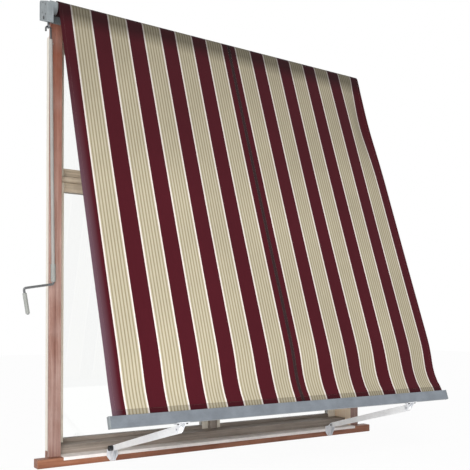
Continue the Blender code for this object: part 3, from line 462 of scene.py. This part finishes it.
# %% Paints and plastics of the awning
ORANGE_PEEL, MOULDED, POLISHED = (420.0, 0.0002), (800.0, 0.0001), (900.0, 0.0001)
tube_paint = skin("tube_paint", (158, 156, 152), 0.34, ORANGE_PEEL, (150, 148, 146), 0.35)
arm_paint = skin("arm_paint", (252, 253, 254), 0.30, ORANGE_PEEL, (190, 192, 192), 0.25)
black_plastic = skin("black_plastic", (26, 27, 29), 0.38, POLISHED, (88, 88, 88))
grey_plastic = skin("grey_plastic", (150, 152, 148), 0.45, MOULDED, (196, 196, 190))
cap_plastic = skin("cap_plastic", (132, 138, 140), 0.42, MOULDED, (170, 172, 172))
print("painted and moulded:", arm_paint.name, tube_paint.name, black_plastic.name)

# %% [markdown]
# ## Dressing the solids
#
# Each solid takes the finish of the material slot that the record gives it. It could be done name
# by name, but a table of slots can't miss one. Boards choose the upright or the level wood by their
# longest side, and a short second table holds the parts that look different from others of their
# slot. The fabric solid is hidden later on, when the sheet takes its place.

# %% Finishes on the solids
finish_of = {
    "stained_wood": stained,
    "rail_wood": greyed,
    "bare_wood": bare,
    "glass": glass,
    "satin_aluminium": satin_aluminium,
    "cap_plastic": cap_plastic,
    "cast_alloy": cast_alloy,
    "white_paint": arm_paint,
    "plated_steel": plated_steel,
    "black_plastic": black_plastic,
    "grey_plastic": grey_plastic,
    "striped_fabric": grey_plastic,
}
special = {
    "sill_flashing": pale_flashing,
    "crank_lever": lever_steel,
    "crank_hook": dark_steel,
    "crank_tube": tube_paint,
    # The transom takes the lighter level wood, painted light under the cloth's shade.
    "transom": bare[False],
    "left_sash_bottom_rail": greyed[False],
    "right_sash_bottom_rail": greyed[False],
}
for name in ("left_foot_bracket", "right_foot_bracket", "left_bar_fork", "right_bar_fork"):
    special[name] = bright_cast
slot_of = {row["node"]: row["material_slot"] for row in frame["record"]["subparts"]}
for name, solid in frame["nodes"].items():
    low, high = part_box(name)
    size = high - low
    chosen = special.get(name) or finish_of[slot_of[name]]
    if isinstance(chosen, dict):
        chosen = chosen[size.z > max(size.x, size.y)]
    solid.data.materials.clear()
    solid.data.materials.append(chosen)
print("dressed", len(frame["nodes"]), "solids")

# %% [markdown]
# ## Room, floor and light
#
# The awning was seen cut out on white. Stronger lamps could burn the background out, but they
# would burn the awning too. So the world is a soft even light that shows as plain white behind the
# awning, in its gloss and through its glass. A broad lamp from the upper left front gives the metal
# and the cloth some shape. A second one, low on the same side, reaches under the cloth, where
# daylight would come back from the ground. The pale floor keeps a trace of the shadow.

# %% World
SOFT_LIGHT = 0.46
world = bpy.data.worlds.new("studio")
scene.world = world
world.use_nodes = True
sky = world.node_tree
sky.nodes.clear()
seen = add(sky, "LightPath").outputs
plain = calculate(sky, "MAXIMUM", seen["Is Camera Ray"], seen["Is Glossy Ray"])
plain = calculate(sky, "MAXIMUM", plain, seen["Is Transmission Ray"])
even = add(sky, "Background", {"Color": linear(248, 250, 255), "Strength": SOFT_LIGHT}).outputs[0]
white = add(sky, "Background", {"Color": (1, 1, 1, 1), "Strength": 1.0}).outputs[0]
either = add(sky, "MixShader", {0: plain, 1: even, 2: white})
add(sky, "OutputWorld", {"Surface": either.outputs[0]})
print("the world lights at", SOFT_LIGHT)

# %% Lamps
sun = bpy.data.lights.new("broad_lamp", "SUN")
sun.energy = 1.05
sun.angle = math.radians(28)
sun.color = (1.0, 0.975, 0.94)
sun_holder = bpy.data.objects.new("broad_lamp", sun)
sun_holder.rotation_euler = (math.radians(50), 0, math.radians(-38))
scene.collection.objects.link(sun_holder)

fill = bpy.data.lights.new("low_fill", "AREA")
fill.energy = 112
fill.size = 1.6
fill_holder = bpy.data.objects.new("low_fill", fill)
fill_holder.location = (-2.3, -3.6, 0.9)
fill_holder.rotation_euler = (math.radians(92), 0, math.radians(-33))
fill_holder.visible_glossy = False
scene.collection.objects.link(fill_holder)
print("broad lamp", sun.energy, "low lamp", fill.energy, "W")

# %% Floor
FLOOR_HALF, FLOOR_LEVEL, FLOOR_WHITENESS = 12, -0.0005, 0.95
form = bmesh.new()
bmesh.ops.create_grid(form, x_segments=1, y_segments=1, size=FLOOR_HALF)
bmesh.ops.translate(form, vec=(0, 0, FLOOR_LEVEL), verts=form.verts)
floor_mesh = bpy.data.meshes.new("floor")
form.to_mesh(floor_mesh)
form.free()
floor = bpy.data.objects.new("floor", floor_mesh)
scene.collection.objects.link(floor)
pale, tree, shader, place = new_finish("pale_floor", 0.9)
shader.inputs["Base Color"].default_value = linear(244, 244, 243)
shader.inputs["Specular IOR Level"].default_value = 0.1
seen = add(tree, "LightPath").outputs
lifted = add(tree, "Emission", {"Color": (1, 1, 1, 1), "Strength": 1.0}).outputs[0]
through = calculate(tree, "MAXIMUM", seen["Is Glossy Ray"], seen["Is Transmission Ray"])
share = calculate(tree, "MULTIPLY", seen["Is Camera Ray"], FLOOR_WHITENESS)
share = calculate(tree, "MAXIMUM", share, through)
both = add(tree, "MixShader", {0: share, 1: shader.outputs[0], 2: lifted}).outputs[0]
tree.links.new(both, tree.nodes["Material Output"].inputs["Surface"])
floor_mesh.materials.append(pale)
print("the floor reaches", 2 * FLOOR_HALF, "m")

# %% [markdown]
# ## The cloth's own frame
#
# The cloth leaves the front of the roll as a straight line that touches it, and ends in a slot
# along the top of the front bar. It could be drawn on the slope at once, but is easier to model
# flat: across the awning, down the cloth from the roll, and out from its face. A matrix then lays
# that flat frame on the slope, which is the angle at which the arms hold the bar at rest.

# %% Frame of the cloth
SLOPE = math.radians(19.10627)
ROLLER_AXIS = Vector((0, -0.055, 2.245))
CLOTH_MIDDLE_X = -0.034
CLOTH_WIDTH = 1.966
CLOTH_THICKNESS = 0.0007
ROLL_RADIUS = 0.036
CLOTH_DROP = 2.0399
LEAVING_RADIUS = ROLL_RADIUS - 0.0006  # of the middle of the outermost turn
canopy_frame = Matrix.Translation(ROLLER_AXIS) @ Matrix.Rotation(-SLOPE, 4, "X")


def on_slope(across, down, out):
    """A point from its place across the cloth, down it from the roll, and out from its face."""
    return canopy_frame @ Vector((CLOTH_MIDDLE_X + across, -LEAVING_RADIUS - out, -down))


bar_line = on_slope(0, CLOTH_DROP, 0)
print("the cloth meets the bar at", [round(value, 4) for value in bar_line])

# %% [markdown]
# ## Striped cloth
#
# Awning cloth is woven from yarn that was dyed first, so the stripes run down the cloth, are as
# sharp as a thread, and show on both faces. The pattern is a repeat of 193 mm: a burgundy band, a
# white line, a cream band with fine tan lines, and a white line again. It is symmetric about the
# middle, where a seam joins two widths of cloth in a burgundy band. A picture of the cloth would
# blur from near. The stripes are sums on the cloth's own UV map instead, which is laid out in
# metres, so they stay sharp and follow every wave.

# %% Sizes in the cloth
REPEAT = 0.193
HALF_BAND = 0.0432
WHITE_LINE = 0.0066
TAN_STEP = 0.0155
TAN_HALF = 0.0024
HEM_BAND = 0.026
SIDE_HEM = 0.020
SEAM_HALF = 0.010
THREAD = 0.0006
print("repeats across the cloth:", round(CLOTH_WIDTH / REPEAT, 2))

# %% Stripes
BURGUNDY, WHITE, DARK_SEAM = linear(78, 20, 30), linear(250, 240, 232), linear(54, 36, 38)
CREAM, TAN, LIGHT_CREAM = linear(196, 187, 160), linear(158, 145, 116), linear(208, 199, 178)
stripes, tree, shader, place = new_finish("striped_fabric", 0.85, shine=0.12)
flat_place = add(tree, "UVMap", uv_map="flat").outputs["UV"]
axes = add(tree, "SeparateXYZ", {"Vector": flat_place}).outputs
sideways, down = axes["X"], axes["Y"]


def beyond(distance, edge, blur):
    """0 before an edge in the pattern and 1 beyond it, over a blur on each side."""
    return fade(tree, distance, edge - blur, edge + blur)


from_band = calculate(tree, "PINGPONG", sideways, REPEAT / 2)
from_middle = calculate(tree, "SUBTRACT", REPEAT / 2, from_band)
to_line = calculate(tree, "PINGPONG", from_middle, TAN_STEP / 2)
cream = blend_colours(tree, beyond(to_line, TAN_STEP / 2 - TAN_HALF, 0.0008), CREAM, TAN)
cream = blend_colours(tree, fade(tree, to_line, 0.0030, 0.0008), cream, LIGHT_CREAM)
in_cream = beyond(from_band, HALF_BAND + WHITE_LINE, THREAD / 2)
pattern = blend_colours(tree, in_cream, WHITE, cream)
pattern = blend_colours(tree, beyond(from_band, HALF_BAND, THREAD / 2), BURGUNDY, pattern)
off_seam = beyond(calculate(tree, "ABSOLUTE", sideways), SEAM_HALF, 0.0004)
pattern = blend_colours(tree, off_seam, DARK_SEAM, pattern)
print("a tan line every", TAN_STEP, "m")

# %% [markdown]
# ## Yarn, handling and painted light in the cloth
#
# Thick and thin yarn and handling change the tone of the stripes at random. The rest is painted
# light in the colour: a painted shadow close under the roll and along its top, a painted
# brightening towards the bar, painted shade where the hem over the rod is double, and a painted
# sheen low on the left edge, where the cloth curls out towards the light. Lamps alone could give
# some of this, but not when the awning is seen from another side, so it is painted in.

# %% Yarn tone and painted shade of the cloth
# Shares of painted light: painted shadow under the roll, painted brightening towards the bar.
PAINTED_SHADOW_AT_ROLL, PAINTED_SHADOW_BELOW_ROLL, PAINTED_LIGHT_AT_BAR = 0.26, 0.62, 1.24
PAINTED_HEM_SHADE, PAINTED_SHADE_OVER_ROLL = 0.66, 0.55
height, slub = use(tree, weave, Place=flat_place, Pitch=THREAD)
yarn = fade(tree, slub, 0.3, 0.7, 0.90, 1.06)
cloud = use(tree, smudges, Place=place, Size=0.35)["Cloud"]
handled = fade(tree, cloud, 0.0, 1.0, 0.94, 1.03)
# shade multiplies the yarn tone and the handling with the painted light below.
shade = calculate(tree, "MULTIPLY", yarn, handled)
hem_edge = CLOTH_DROP - HEM_BAND
for painted_light_zone in (
    # painted shadow close under the roll
    fade(tree, down, 0.04, 0.12, PAINTED_SHADOW_AT_ROLL, PAINTED_SHADOW_BELOW_ROLL),
    # painted brightening towards the bar
    fade(tree, down, 0.10, 1.0, 1.0, PAINTED_LIGHT_AT_BAR),
    # painted shade along the top of the roll
    fade(tree, down, -0.044, -0.018, PAINTED_SHADE_OVER_ROLL, 1.0),
    # painted shade where the hem over the rod is double
    fade(tree, down, hem_edge - THREAD, hem_edge + THREAD, 1.0, PAINTED_HEM_SHADE),
):
    shade = calculate(tree, "MULTIPLY", shade, painted_light_zone)
# The yarn tone and the painted shade together darken the pattern.
yarn_and_painted_shade_colour = add(tree, "CombineColor", {"Red": shade, "Green": shade, "Blue": shade}).outputs["Color"]
pattern = blend_colours(tree, 1.0, pattern, yarn_and_painted_shade_colour, "MULTIPLY")
# Painted sheen: low on the left edge, where the cloth curls out towards the light, the colour is
# blended to a pale greyish violet.
left_edge = fade(tree, sideways, -0.935, -0.985, 0.0, 0.5)
painted_edge_sheen = calculate(tree, "MULTIPLY", left_edge, fade(tree, down, 0.3, 1.1))
pattern = blend_colours(tree, painted_edge_sheen, pattern, linear(118, 102, 114))
tree.links.new(pattern, shader.inputs["Base Color"])
tree.links.new(fade(tree, height, 0.0, 1.0, 0.90, 0.78), shader.inputs["Roughness"])
relief(tree, shader, height, 0.00012, 0.5)
shader.inputs["Sheen Weight"].default_value = 0.04
shader.inputs["Sheen Roughness"].default_value = 0.5
print("shade under the roll:", PAINTED_SHADOW_AT_ROLL, "and low down:", round(PAINTED_SHADOW_BELOW_ROLL * PAINTED_LIGHT_AT_BAR, 2))

# %% [markdown]
# ## How the cloth lies
#
# The bar's weight pulls the cloth nearly flat. What is left shows in the light: a shallow hang
# between roll and bar, a dip with soft waves just above the bar where the hem holds the cloth
# shorter, a shallow valley below the upper right corner, where the roll pulls less, and side hems
# that curl out a little. A cloth simulation could find such shapes, but not these ones in their
# places. So one function gives the height of the cloth at each place, and the hems and stitches
# that are laid on the cloth later follow it too.

# %% Depths and lengths of the cloth's waves
HANG, DIP, DIP_ABOVE_BAR, DIP_REACH, FLAT_AT_BAR = 0.006, 0.0155, 0.115, 0.10, 0.055
SHORT_WAVE, LONG_WAVE, LONG_WAVE_HEIGHT = 0.43, 0.62, 0.0028
CURL, CURL_REACH = 0.0045, 0.03
VALLEY, VALLEY_ACROSS, VALLEY_DOWN, FLAT_AT_ROLL = 0.027, (0.93, 0.055), (0.33, 0.24), 0.08
print("the valley runs", VALLEY_ACROSS[0], "m right of the middle")


# %% Shape of the cloth
def bell(value, middle, width):
    return math.exp(-(((value - middle) / width) ** 2))


def swell(across, down):
    """Height of the cloth out from the plane between roll and bar, in metres."""
    share = min(max(down / CLOTH_DROP, 0.0), 1.0)
    held = math.sin(math.pi * share)
    rightward = min(max(across / CLOTH_WIDTH + 0.5, 0.0), 1.0)
    near_bar = bell(down, CLOTH_DROP - DIP_ABOVE_BAR, DIP_REACH)
    near_bar *= min(1.0, (CLOTH_DROP - down) / FLAT_AT_BAR)
    dip = -DIP * max(near_bar, 0.0) * (0.35 + 0.65 * rightward)
    dip *= 1 + 0.35 * math.sin(2 * math.pi * across / SHORT_WAVE + 0.8)
    wave = LONG_WAVE_HEIGHT * held * math.sin(2 * math.pi * across / LONG_WAVE + 1.4 * share)
    edge = CLOTH_WIDTH / 2 - abs(across)
    curl = CURL * held * math.exp(-edge / CURL_REACH)
    valley = -VALLEY * bell(across, *VALLEY_ACROSS) * bell(down, *VALLEY_DOWN)
    valley *= min(1.0, max(down, 0.0) / FLAT_AT_ROLL)
    return -HANG * held + dip + wave + curl + valley


def cloth_point(across, down, lift=0.0):
    """Where a place on the flat cloth hangs, lifted off its middle."""
    return on_slope(across, down, swell(across, down) + lift)


looked_at = [step / 20 for step in range(21)]
depths = [swell((a - 0.5) * CLOTH_WIDTH, d * CLOTH_DROP) for a in looked_at for d in looked_at]
print("the cloth rises and falls from", round(min(depths), 4), "to", round(max(depths), 4), "m")

# %% [markdown]
# ## From flat cloth to a shaped one
#
# Every layer of the cloth starts as a grid that is one unit wide and one long. Its UV map says
# where each vertex lies on the flat cloth, and then the vertex moves to where that place hangs.
# Bending a flat mesh with modifiers would do the same in more steps and less exactly.


# %% Grid helper
def laid_grid(across_steps, down_steps, flat, shaped):
    """A grid; flat and shaped turn a corner's two shares, from -0.5 to 0.5, into its places."""
    form = bmesh.new()
    bmesh.ops.create_grid(form, x_segments=across_steps, y_segments=down_steps, size=0.5)
    layer = form.loops.layers.uv.new("flat")
    for face in form.faces:
        for loop in face.loops:
            loop[layer].uv = flat(loop.vert.co.x, loop.vert.co.y)
    for vertex in form.verts:
        vertex.co = shaped(vertex.co.x, vertex.co.y)
    return form


# %% Sheet
ACROSS_STEPS, DOWN_STEPS = 150, 152


def on_sheet(x, y):
    return x * CLOTH_WIDTH, (0.5 - y) * CLOTH_DROP


sheet_form = laid_grid(
    ACROSS_STEPS, DOWN_STEPS, on_sheet, lambda x, y: cloth_point(*on_sheet(x, y))
)
print("sheet has", len(sheet_form.faces), "faces")

# %% [markdown]
# ## From mesh to piece
#
# A finished mesh becomes a piece in one step: it gets its finish, joins the scene and rides on a
# body of the awning. Its object stays at the origin, as the solids do. Faces that meet under a
# small angle are smoothed, and edges above it stay sharp. Open edges are kept sharp too, so that
# the wall given to the cloth later doesn't shade its rim as a round lip.


# %% Piece helper
def piece_from(form, name, finish, body, smooth_under):
    """A mesh as a piece of the awning; edges under so many degrees are smoothed."""
    for face in form.faces:
        face.smooth = True
    for edge in form.edges:
        closed = len(edge.link_faces) == 2
        edge.smooth = closed and edge.calc_face_angle() < math.radians(smooth_under)
    mesh = bpy.data.meshes.new(name)
    form.to_mesh(mesh)
    form.free()
    mesh.materials.append(finish)
    made = bpy.data.objects.new(name, mesh)
    scene.collection.objects.link(made)
    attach(made, body)
    return made


def thicken(piece):
    """Gives a layer the thickness of the cloth, half on each side."""
    wall = piece.modifiers.new("wall", "SOLIDIFY")
    wall.thickness = CLOTH_THICKNESS
    wall.offset = 0.0
    wall.use_quality_normals = True
    return piece


print("cloth is", CLOTH_THICKNESS * 1000, "mm thick")

# %% [markdown]
# ## The free cloth
#
# When the arms swing up, the real cloth winds onto the roll. A mesh can't wind in a joint, and
# nothing here draws the free cloth in: each layer only gets a mesh of its own. At the upper stop
# the real cloth keeps 69% of its length, which is the distance from roll to bar there.

# %% Free cloth
ROLL_TOUCH = on_slope(0, 0, 0)
DOWN_CLOTH = Vector((0, -math.sin(SLOPE), -math.cos(SLOPE)))


def winds_up(piece):
    """Gives the piece its own mesh; it doesn't draw the cloth in towards the roll."""
    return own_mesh(piece)


sheet = piece_from(sheet_form, "fabric_sheet", stripes, "canopy", smooth_under=60)
winds_up(thicken(sheet))
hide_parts("fabric")
print("sheet is", CLOTH_WIDTH, "by", CLOTH_DROP, "m")

# %% [markdown]
# ## Hems and the middle seam
#
# Awning cloth comes 1.2 m wide, so two widths are lapped and sewn in the middle of the awning. The
# side edges are turned back by 20 mm, and the lower edge is turned back by 26 mm to make a pocket
# for the rod that holds it in the bar. Folding the sheet itself would crowd its edges with faces.
# Each is a second layer instead, a strip that follows the sheet at the distance of one thickness.


# %% Strips of a second layer
def strip(name, sides, ends, lift, steps):
    """A layer over the sheet between two sides and two ends, at a distance from its middle."""

    def on_strip(x, y):
        across = sides[0] + (sides[1] - sides[0]) * (x + 0.5)
        return across, ends[0] + (ends[1] - ends[0]) * (0.5 - y)

    form = laid_grid(*steps, on_strip, lambda x, y: cloth_point(*on_strip(x, y), lift))
    made = thicken(piece_from(form, name, stripes, "canopy", smooth_under=60))
    return winds_up(made)


# %% Hems and seam
HALF_WIDTH = CLOTH_WIDTH / 2
LAYER = CLOTH_THICKNESS + 0.0002
SEAM_LIFT, BAR_HEM_LIFT = LAYER * 0.8, -LAYER * 1.6
LEFT_HEM, RIGHT_HEM = (-HALF_WIDTH, -HALF_WIDTH + SIDE_HEM), (HALF_WIDTH - SIDE_HEM, HALF_WIDTH)
OFF_ROLL, WHOLE_DROP, LAST_BAND = (0.02, CLOTH_DROP), (0.0, CLOTH_DROP), (hem_edge, CLOTH_DROP)
layers = [
    strip("left_side_hem", LEFT_HEM, OFF_ROLL, -LAYER, (3, DOWN_STEPS)),
    strip("right_side_hem", RIGHT_HEM, OFF_ROLL, -LAYER, (3, DOWN_STEPS)),
    strip("middle_seam", (-SEAM_HALF, SEAM_HALF), WHOLE_DROP, SEAM_LIFT, (2, DOWN_STEPS)),
    strip("bar_hem", (-HALF_WIDTH, HALF_WIDTH), LAST_BAND, BAR_HEM_LIFT, (ACROSS_STEPS, 4)),
]
print("second layers:", [made.name for made in layers])

# %% [markdown]
# ## Stitches
#
# A lockstitch shows as a row of short raised dashes. They could be a bump in the finish, but real
# ones stand off the cloth and catch the light along the hems. Each dash here is a ball of 20 faces
# pulled long and pressed flat, 5 mm from the next, on both faces of the cloth. They follow the
# shape of the cloth.

# %% Stitch rows
thread_finish = skin("sewing_thread", (124, 96, 88), 0.7, (2500.0, 0.00005), (150, 126, 116))
STITCH_PITCH = 0.005
STITCH = Vector((0.00028, 0.0017, 0.00022))


def sew(rows, start, end, lift):
    """A row of stitches between two flat places (across, down), added to the other rows."""
    form = bmesh.new()
    start, end = Vector(start), Vector(end)
    count = int((end - start).length / STITCH_PITCH)
    for index in range(count):
        place = start.lerp(end, (index + 0.5) / count)
        ahead = start.lerp(end, (index + 0.8) / count)
        middle = cloth_point(*place, lift)
        along = (cloth_point(*ahead, lift) - middle).normalized()
        out = (cloth_point(*place, lift + 0.001) - middle).normalized()
        turned = Matrix((along.cross(out), along, out)).transposed().to_4x4()
        spot = Matrix.Translation(middle) @ turned @ Matrix.Diagonal((*STITCH, 1.0))
        bmesh.ops.create_icosphere(form, subdivisions=1, radius=1.0, matrix=spot)
    row = bpy.data.meshes.new("row")
    form.to_mesh(row)
    form.free()
    rows.from_mesh(row)
    bpy.data.meshes.remove(row)


# %% All the stitches
OUTSIDE, INSIDE = CLOTH_THICKNESS * 0.5, -CLOTH_THICKNESS * 1.5 - 0.0002
ROW_INSET, ROW_START, ROW_END = 0.003, 0.03, CLOTH_DROP - 0.002
form = bmesh.new()
for side in (-1, 1):
    hem_row = side * (HALF_WIDTH - SIDE_HEM + ROW_INSET)
    seam_row = side * SEAM_HALF * 0.7
    for lift in (OUTSIDE, INSIDE):
        sew(form, (hem_row, ROW_START), (hem_row, ROW_END), lift)
    sew(form, (seam_row, 0.0), (seam_row, ROW_END), SEAM_LIFT + OUTSIDE)
bar_row, bar_row_end = hem_edge + ROW_INSET, HALF_WIDTH - ROW_INSET
for lift in (OUTSIDE, BAR_HEM_LIFT - OUTSIDE):
    sew(form, (-bar_row_end, bar_row), (bar_row_end, bar_row), lift)
print("stitches:", len(form.faces) // 20)
stitching = winds_up(piece_from(form, "stitching", thread_finish, "canopy", smooth_under=80))

# %% [markdown]
# ## The pocket round the rod
#
# Inside the bar the cloth goes round a thin rod that is too thick to slip out of the slot. It
# hardly shows, and a plain tube would pass, but then the cloth would end at the slot for no reason.
# The pocket stays with the bar. Its section is two short straights and most of a circle.

# %% Section of the hem pocket
rod_low, rod_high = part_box("hem_rod")
rod = (rod_low + rod_high) / 2
rod_down = (rod - ROLL_TOUCH).dot(DOWN_CLOTH)
OUT_OF_CLOTH = on_slope(0, 0, 1) - on_slope(0, 0, 0)
rod_out = (rod - ROLL_TOUCH).dot(OUT_OF_CLOTH)
pocket_radius = (rod_high.z - rod_low.z) / 2 + CLOTH_THICKNESS / 2 + 0.00005
OPENING = math.radians(16)
STRAIGHT = 0.15


def pocket_section(share):
    """Out and down of the pocket's section, from the front layer round to the back layer."""
    turned_share = min(max((share - STRAIGHT) / (1 - 2 * STRAIGHT), 0.0), 1.0)
    turn = OPENING + (2 * math.pi - 2 * OPENING) * turned_share
    out = rod_out + pocket_radius * math.sin(turn)
    down = rod_down - pocket_radius * math.cos(turn)
    straight = max(STRAIGHT - share, share - (1 - STRAIGHT), 0.0) / STRAIGHT
    end_out = 0.0 if share < 0.5 else BAR_HEM_LIFT
    return out + (end_out - out) * straight, down + (CLOTH_DROP - down) * straight


print("pocket radius", round(pocket_radius, 5), "m")


# %% Hem pocket
POCKET_WIDTH, POCKET_UV_LENGTH = CLOTH_WIDTH - 0.004, 0.02


def in_pocket(x, y):
    out, down = pocket_section(y + 0.5)
    return on_slope(x * POCKET_WIDTH, down, out)


form = laid_grid(
    24,
    40,
    lambda x, y: (x * CLOTH_WIDTH, CLOTH_DROP + POCKET_UV_LENGTH * (y + 0.5)),
    in_pocket,
)
bmesh.ops.recalc_face_normals(form, faces=form.faces)
pocket = thicken(piece_from(form, "hem_pocket", stripes, "bar", smooth_under=60))
print("rod lies", round(rod_down - CLOTH_DROP, 4), "m inside the bar")

# %% [markdown]
# ## The turns on the roller
#
# Some cloth always stays wound on the tube, so that the pull goes into the tube by friction. Seen
# from the end it is a spiral, where a plain cylinder would show closed rings. So it is one long
# grid, wound from the line where the free cloth leaves inwards to the tube. It rides with the cloth
# and not with the tube, so that the two stay joined where the cloth leaves the roll.

# %% Wound turns
TUBE_RADIUS = 0.0335
TURNS = 3
TURN_STEPS = 60
inner_radius = TUBE_RADIUS + CLOTH_THICKNESS
wound = TURNS * 2 * math.pi * (LEAVING_RADIUS + inner_radius) / 2


def on_roll(x, y):
    angle = -(y + 0.5) * TURNS * 2 * math.pi
    radius = LEAVING_RADIUS - (LEAVING_RADIUS - inner_radius) * (y + 0.5)
    along = CLOTH_MIDDLE_X + x * CLOTH_WIDTH
    return canopy_frame @ Vector((along, -radius * math.cos(angle), -radius * math.sin(angle)))


form = laid_grid(
    24, TURNS * TURN_STEPS, lambda x, y: (x * CLOTH_WIDTH, -(y + 0.5) * wound), on_roll
)
roll = thicken(piece_from(form, "fabric_roll", stripes, "canopy", smooth_under=60))
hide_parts("fabric")
print("wound on the tube:", round(wound, 3), "m")

# %% [markdown]
# ## Turned parts: screws, rivets and the housing's boss
#
# Small round fittings could be cylinders with bevelled edges, but a pan head with its recess and
# a stepped boss are more than that. So they are turned, as on a lathe: half a profile, a list of
# radius and height, is spun round an axis and its seam and poles are merged.


# %% Turned fittings
def turned(form, profile, place, towards, steps=20):
    """Spins a profile of (radius, height) round the direction that it faces."""
    corners = [form.verts.new((radius, 0, height)) for radius, height in profile]
    edges = [form.edges.new(pair) for pair in zip(corners, corners[1:])]
    bmesh.ops.spin(
        form,
        geom=corners + edges,
        axis=(0, 0, 1),
        cent=(0, 0, 0),
        steps=steps,
        angle=2 * math.pi,
        use_merge=True,
    )
    made = {vertex for face in form.faces if not face.tag for vertex in face.verts}
    bmesh.ops.remove_doubles(form, verts=list(made), dist=0.00001)
    fresh = [face for face in form.faces if not face.tag]
    bmesh.ops.recalc_face_normals(form, faces=fresh)
    made = list({vertex for face in fresh for vertex in face.verts})
    aim = Vector((0, 0, 1)).rotation_difference(Vector(towards)).to_matrix().to_4x4()
    bmesh.ops.transform(form, matrix=Matrix.Translation(place) @ aim, verts=made)
    for face in fresh:
        face.tag = True


SUNK = -0.0003  # how far a fitting reaches into what carries it


def screw_profile(radius, height):
    """A pan head with a round recess for the driver."""
    return [
        (0, height * 0.25),
        (radius * 0.30, height * 0.25),
        (radius * 0.36, height * 0.92),
        (radius * 0.62, height),
        (radius * 0.88, height * 0.72),
        (radius, height * 0.30),
        (radius, SUNK),
        (0, SUNK),
    ]


# %% Screws of the brackets
LEFT, FRONT = (-1, 0, 0), (0, -1, 0)
HOUSING_SCREWS = ((-0.050, 2.263), (-0.047, 2.215), (-0.092, 2.238), (-0.088, 2.192))
BRACKET_SCREWS = ((0.982, -0.0033, 2.206), (0.982, -0.0033, 2.236))
housing_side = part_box("gear_housing")[0].x
form = bmesh.new()
for depth, level in HOUSING_SCREWS:
    turned(form, screw_profile(0.0034, 0.0018), (housing_side, depth, level), LEFT)
for place in BRACKET_SCREWS:
    turned(form, screw_profile(0.0036, 0.0018), place, FRONT)
fittings = piece_from(form, "bracket_screws", dark_steel, "window_frame", smooth_under=40)
print("bracket screws:", [round(value, 3) for value in fittings.dimensions])

# %% Boss of the housing
BOSS_PLACE = (housing_side, -0.0613, 2.184)
form = bmesh.new()
socket = [(0, 0.0022), (0.0030, 0.0022), (0.0034, 0.0010), (0.0050, 0.0008)]
collar = [(0.0054, 0.0030), (0.0074, 0.0030), (0.0082, 0.0022), (0.0082, SUNK), (0, SUNK)]
turned(form, [*socket, *collar], BOSS_PLACE, LEFT, steps=32)
boss = piece_from(form, "housing_boss", dark_steel, "window_frame", smooth_under=40)
print("boss:", [round(value, 3) for value in boss.dimensions])

# %% Rivets of the crank's tube
FROM_TUBE_END = 0.022
tube_low, tube_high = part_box("crank_tube")
tube_middle = (tube_low + tube_high) / 2
form = bmesh.new()
for level in (tube_high.z - FROM_TUBE_END, tube_low.z + FROM_TUBE_END):
    for way in (-1, 1):
        rim = (tube_middle.x, tube_middle.y + way * (tube_high.y - tube_low.y) / 2, level)
        turned(form, screw_profile(0.0024, 0.0010), rim, (0, way, 0))
rivets = piece_from(form, "tube_rivets", plated_steel, "crank", smooth_under=40)
print("rivets:", [round(value, 3) for value in rivets.dimensions])

# %% [markdown]
# ## Glazing beads
#
# A pane sits in a rebate and is held by a slim wooden bead on each side. Four mitred sticks would
# need their corners cut to fit. One flat face as large as the opening is inset by the bead's width
# instead, its middle is removed, and the ring is pulled out and its inner edge bevelled.
#
# One step is missing here. A face made by hand has no normal until it is updated, and without one
# the inset moves nothing. So these rings have their depth but no width, and no edge to bevel.
# Calling form.normal_update() before the inset would give them their width.


# %% Glazing beads
BEAD_WIDTH, BEAD_DEPTH, BEAD_BEVEL = 0.009, 0.008, 0.005
OFF_PANE = 0.0002


def bead(light, left, right, body):
    """The beads of a light on both faces of its pane, between its left and right stile."""
    x_low, x_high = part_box(f"{light}_{left}")[1].x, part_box(f"{light}_{right}")[0].x
    z_low, z_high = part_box(f"{light}_bottom_rail")[1].z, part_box(f"{light}_top_rail")[0].z
    pane_low, pane_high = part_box(f"{light}_glass")
    form = bmesh.new()
    for plane, way in ((pane_low.y - OFF_PANE, -1), (pane_high.y + OFF_PANE, 1)):
        corners = [
            form.verts.new((x, plane, z))
            for x, z in ((x_low, z_low), (x_high, z_low), (x_high, z_high), (x_low, z_high))
        ]
        whole = form.faces.new(corners)
        ring = bmesh.ops.inset_region(
            form, faces=[whole], thickness=BEAD_WIDTH, use_boundary=True
        )["faces"]
        bmesh.ops.delete(form, geom=[whole], context="FACES_ONLY")
        pulled = bmesh.ops.extrude_face_region(form, geom=ring)["geom"]
        moved = [item for item in pulled if isinstance(item, bmesh.types.BMVert)]
        bmesh.ops.translate(form, vec=(0, way * BEAD_DEPTH, 0), verts=moved)
        inside = {
            vertex
            for vertex in moved
            if x_low + OFF_PANE < vertex.co.x < x_high - OFF_PANE
            and z_low + OFF_PANE < vertex.co.z < z_high - OFF_PANE
        }
        inner = [edge for edge in form.edges if inside.issuperset(edge.verts)]
        bmesh.ops.bevel(
            form,
            geom=inner,
            offset=BEAD_BEVEL,
            segments=4,
            profile=0.5,
            affect="EDGES",
            material=-1,
        )
    bmesh.ops.recalc_face_normals(form, faces=form.faces)
    made = piece_from(form, f"{light}_beads", bare[True], body, smooth_under=35)
    return made


# %% Beads of the three lights
beads = [
    bead("top_light", "left_stile", "right_stile", "window_frame"),
    bead("left_sash", "hinge_stile", "meeting_stile", "left_sash"),
    bead("right_sash", "meeting_stile", "hinge_stile", "right_sash"),
]
print("beads:", [[round(value, 3) for value in made.dimensions] for made in beads])
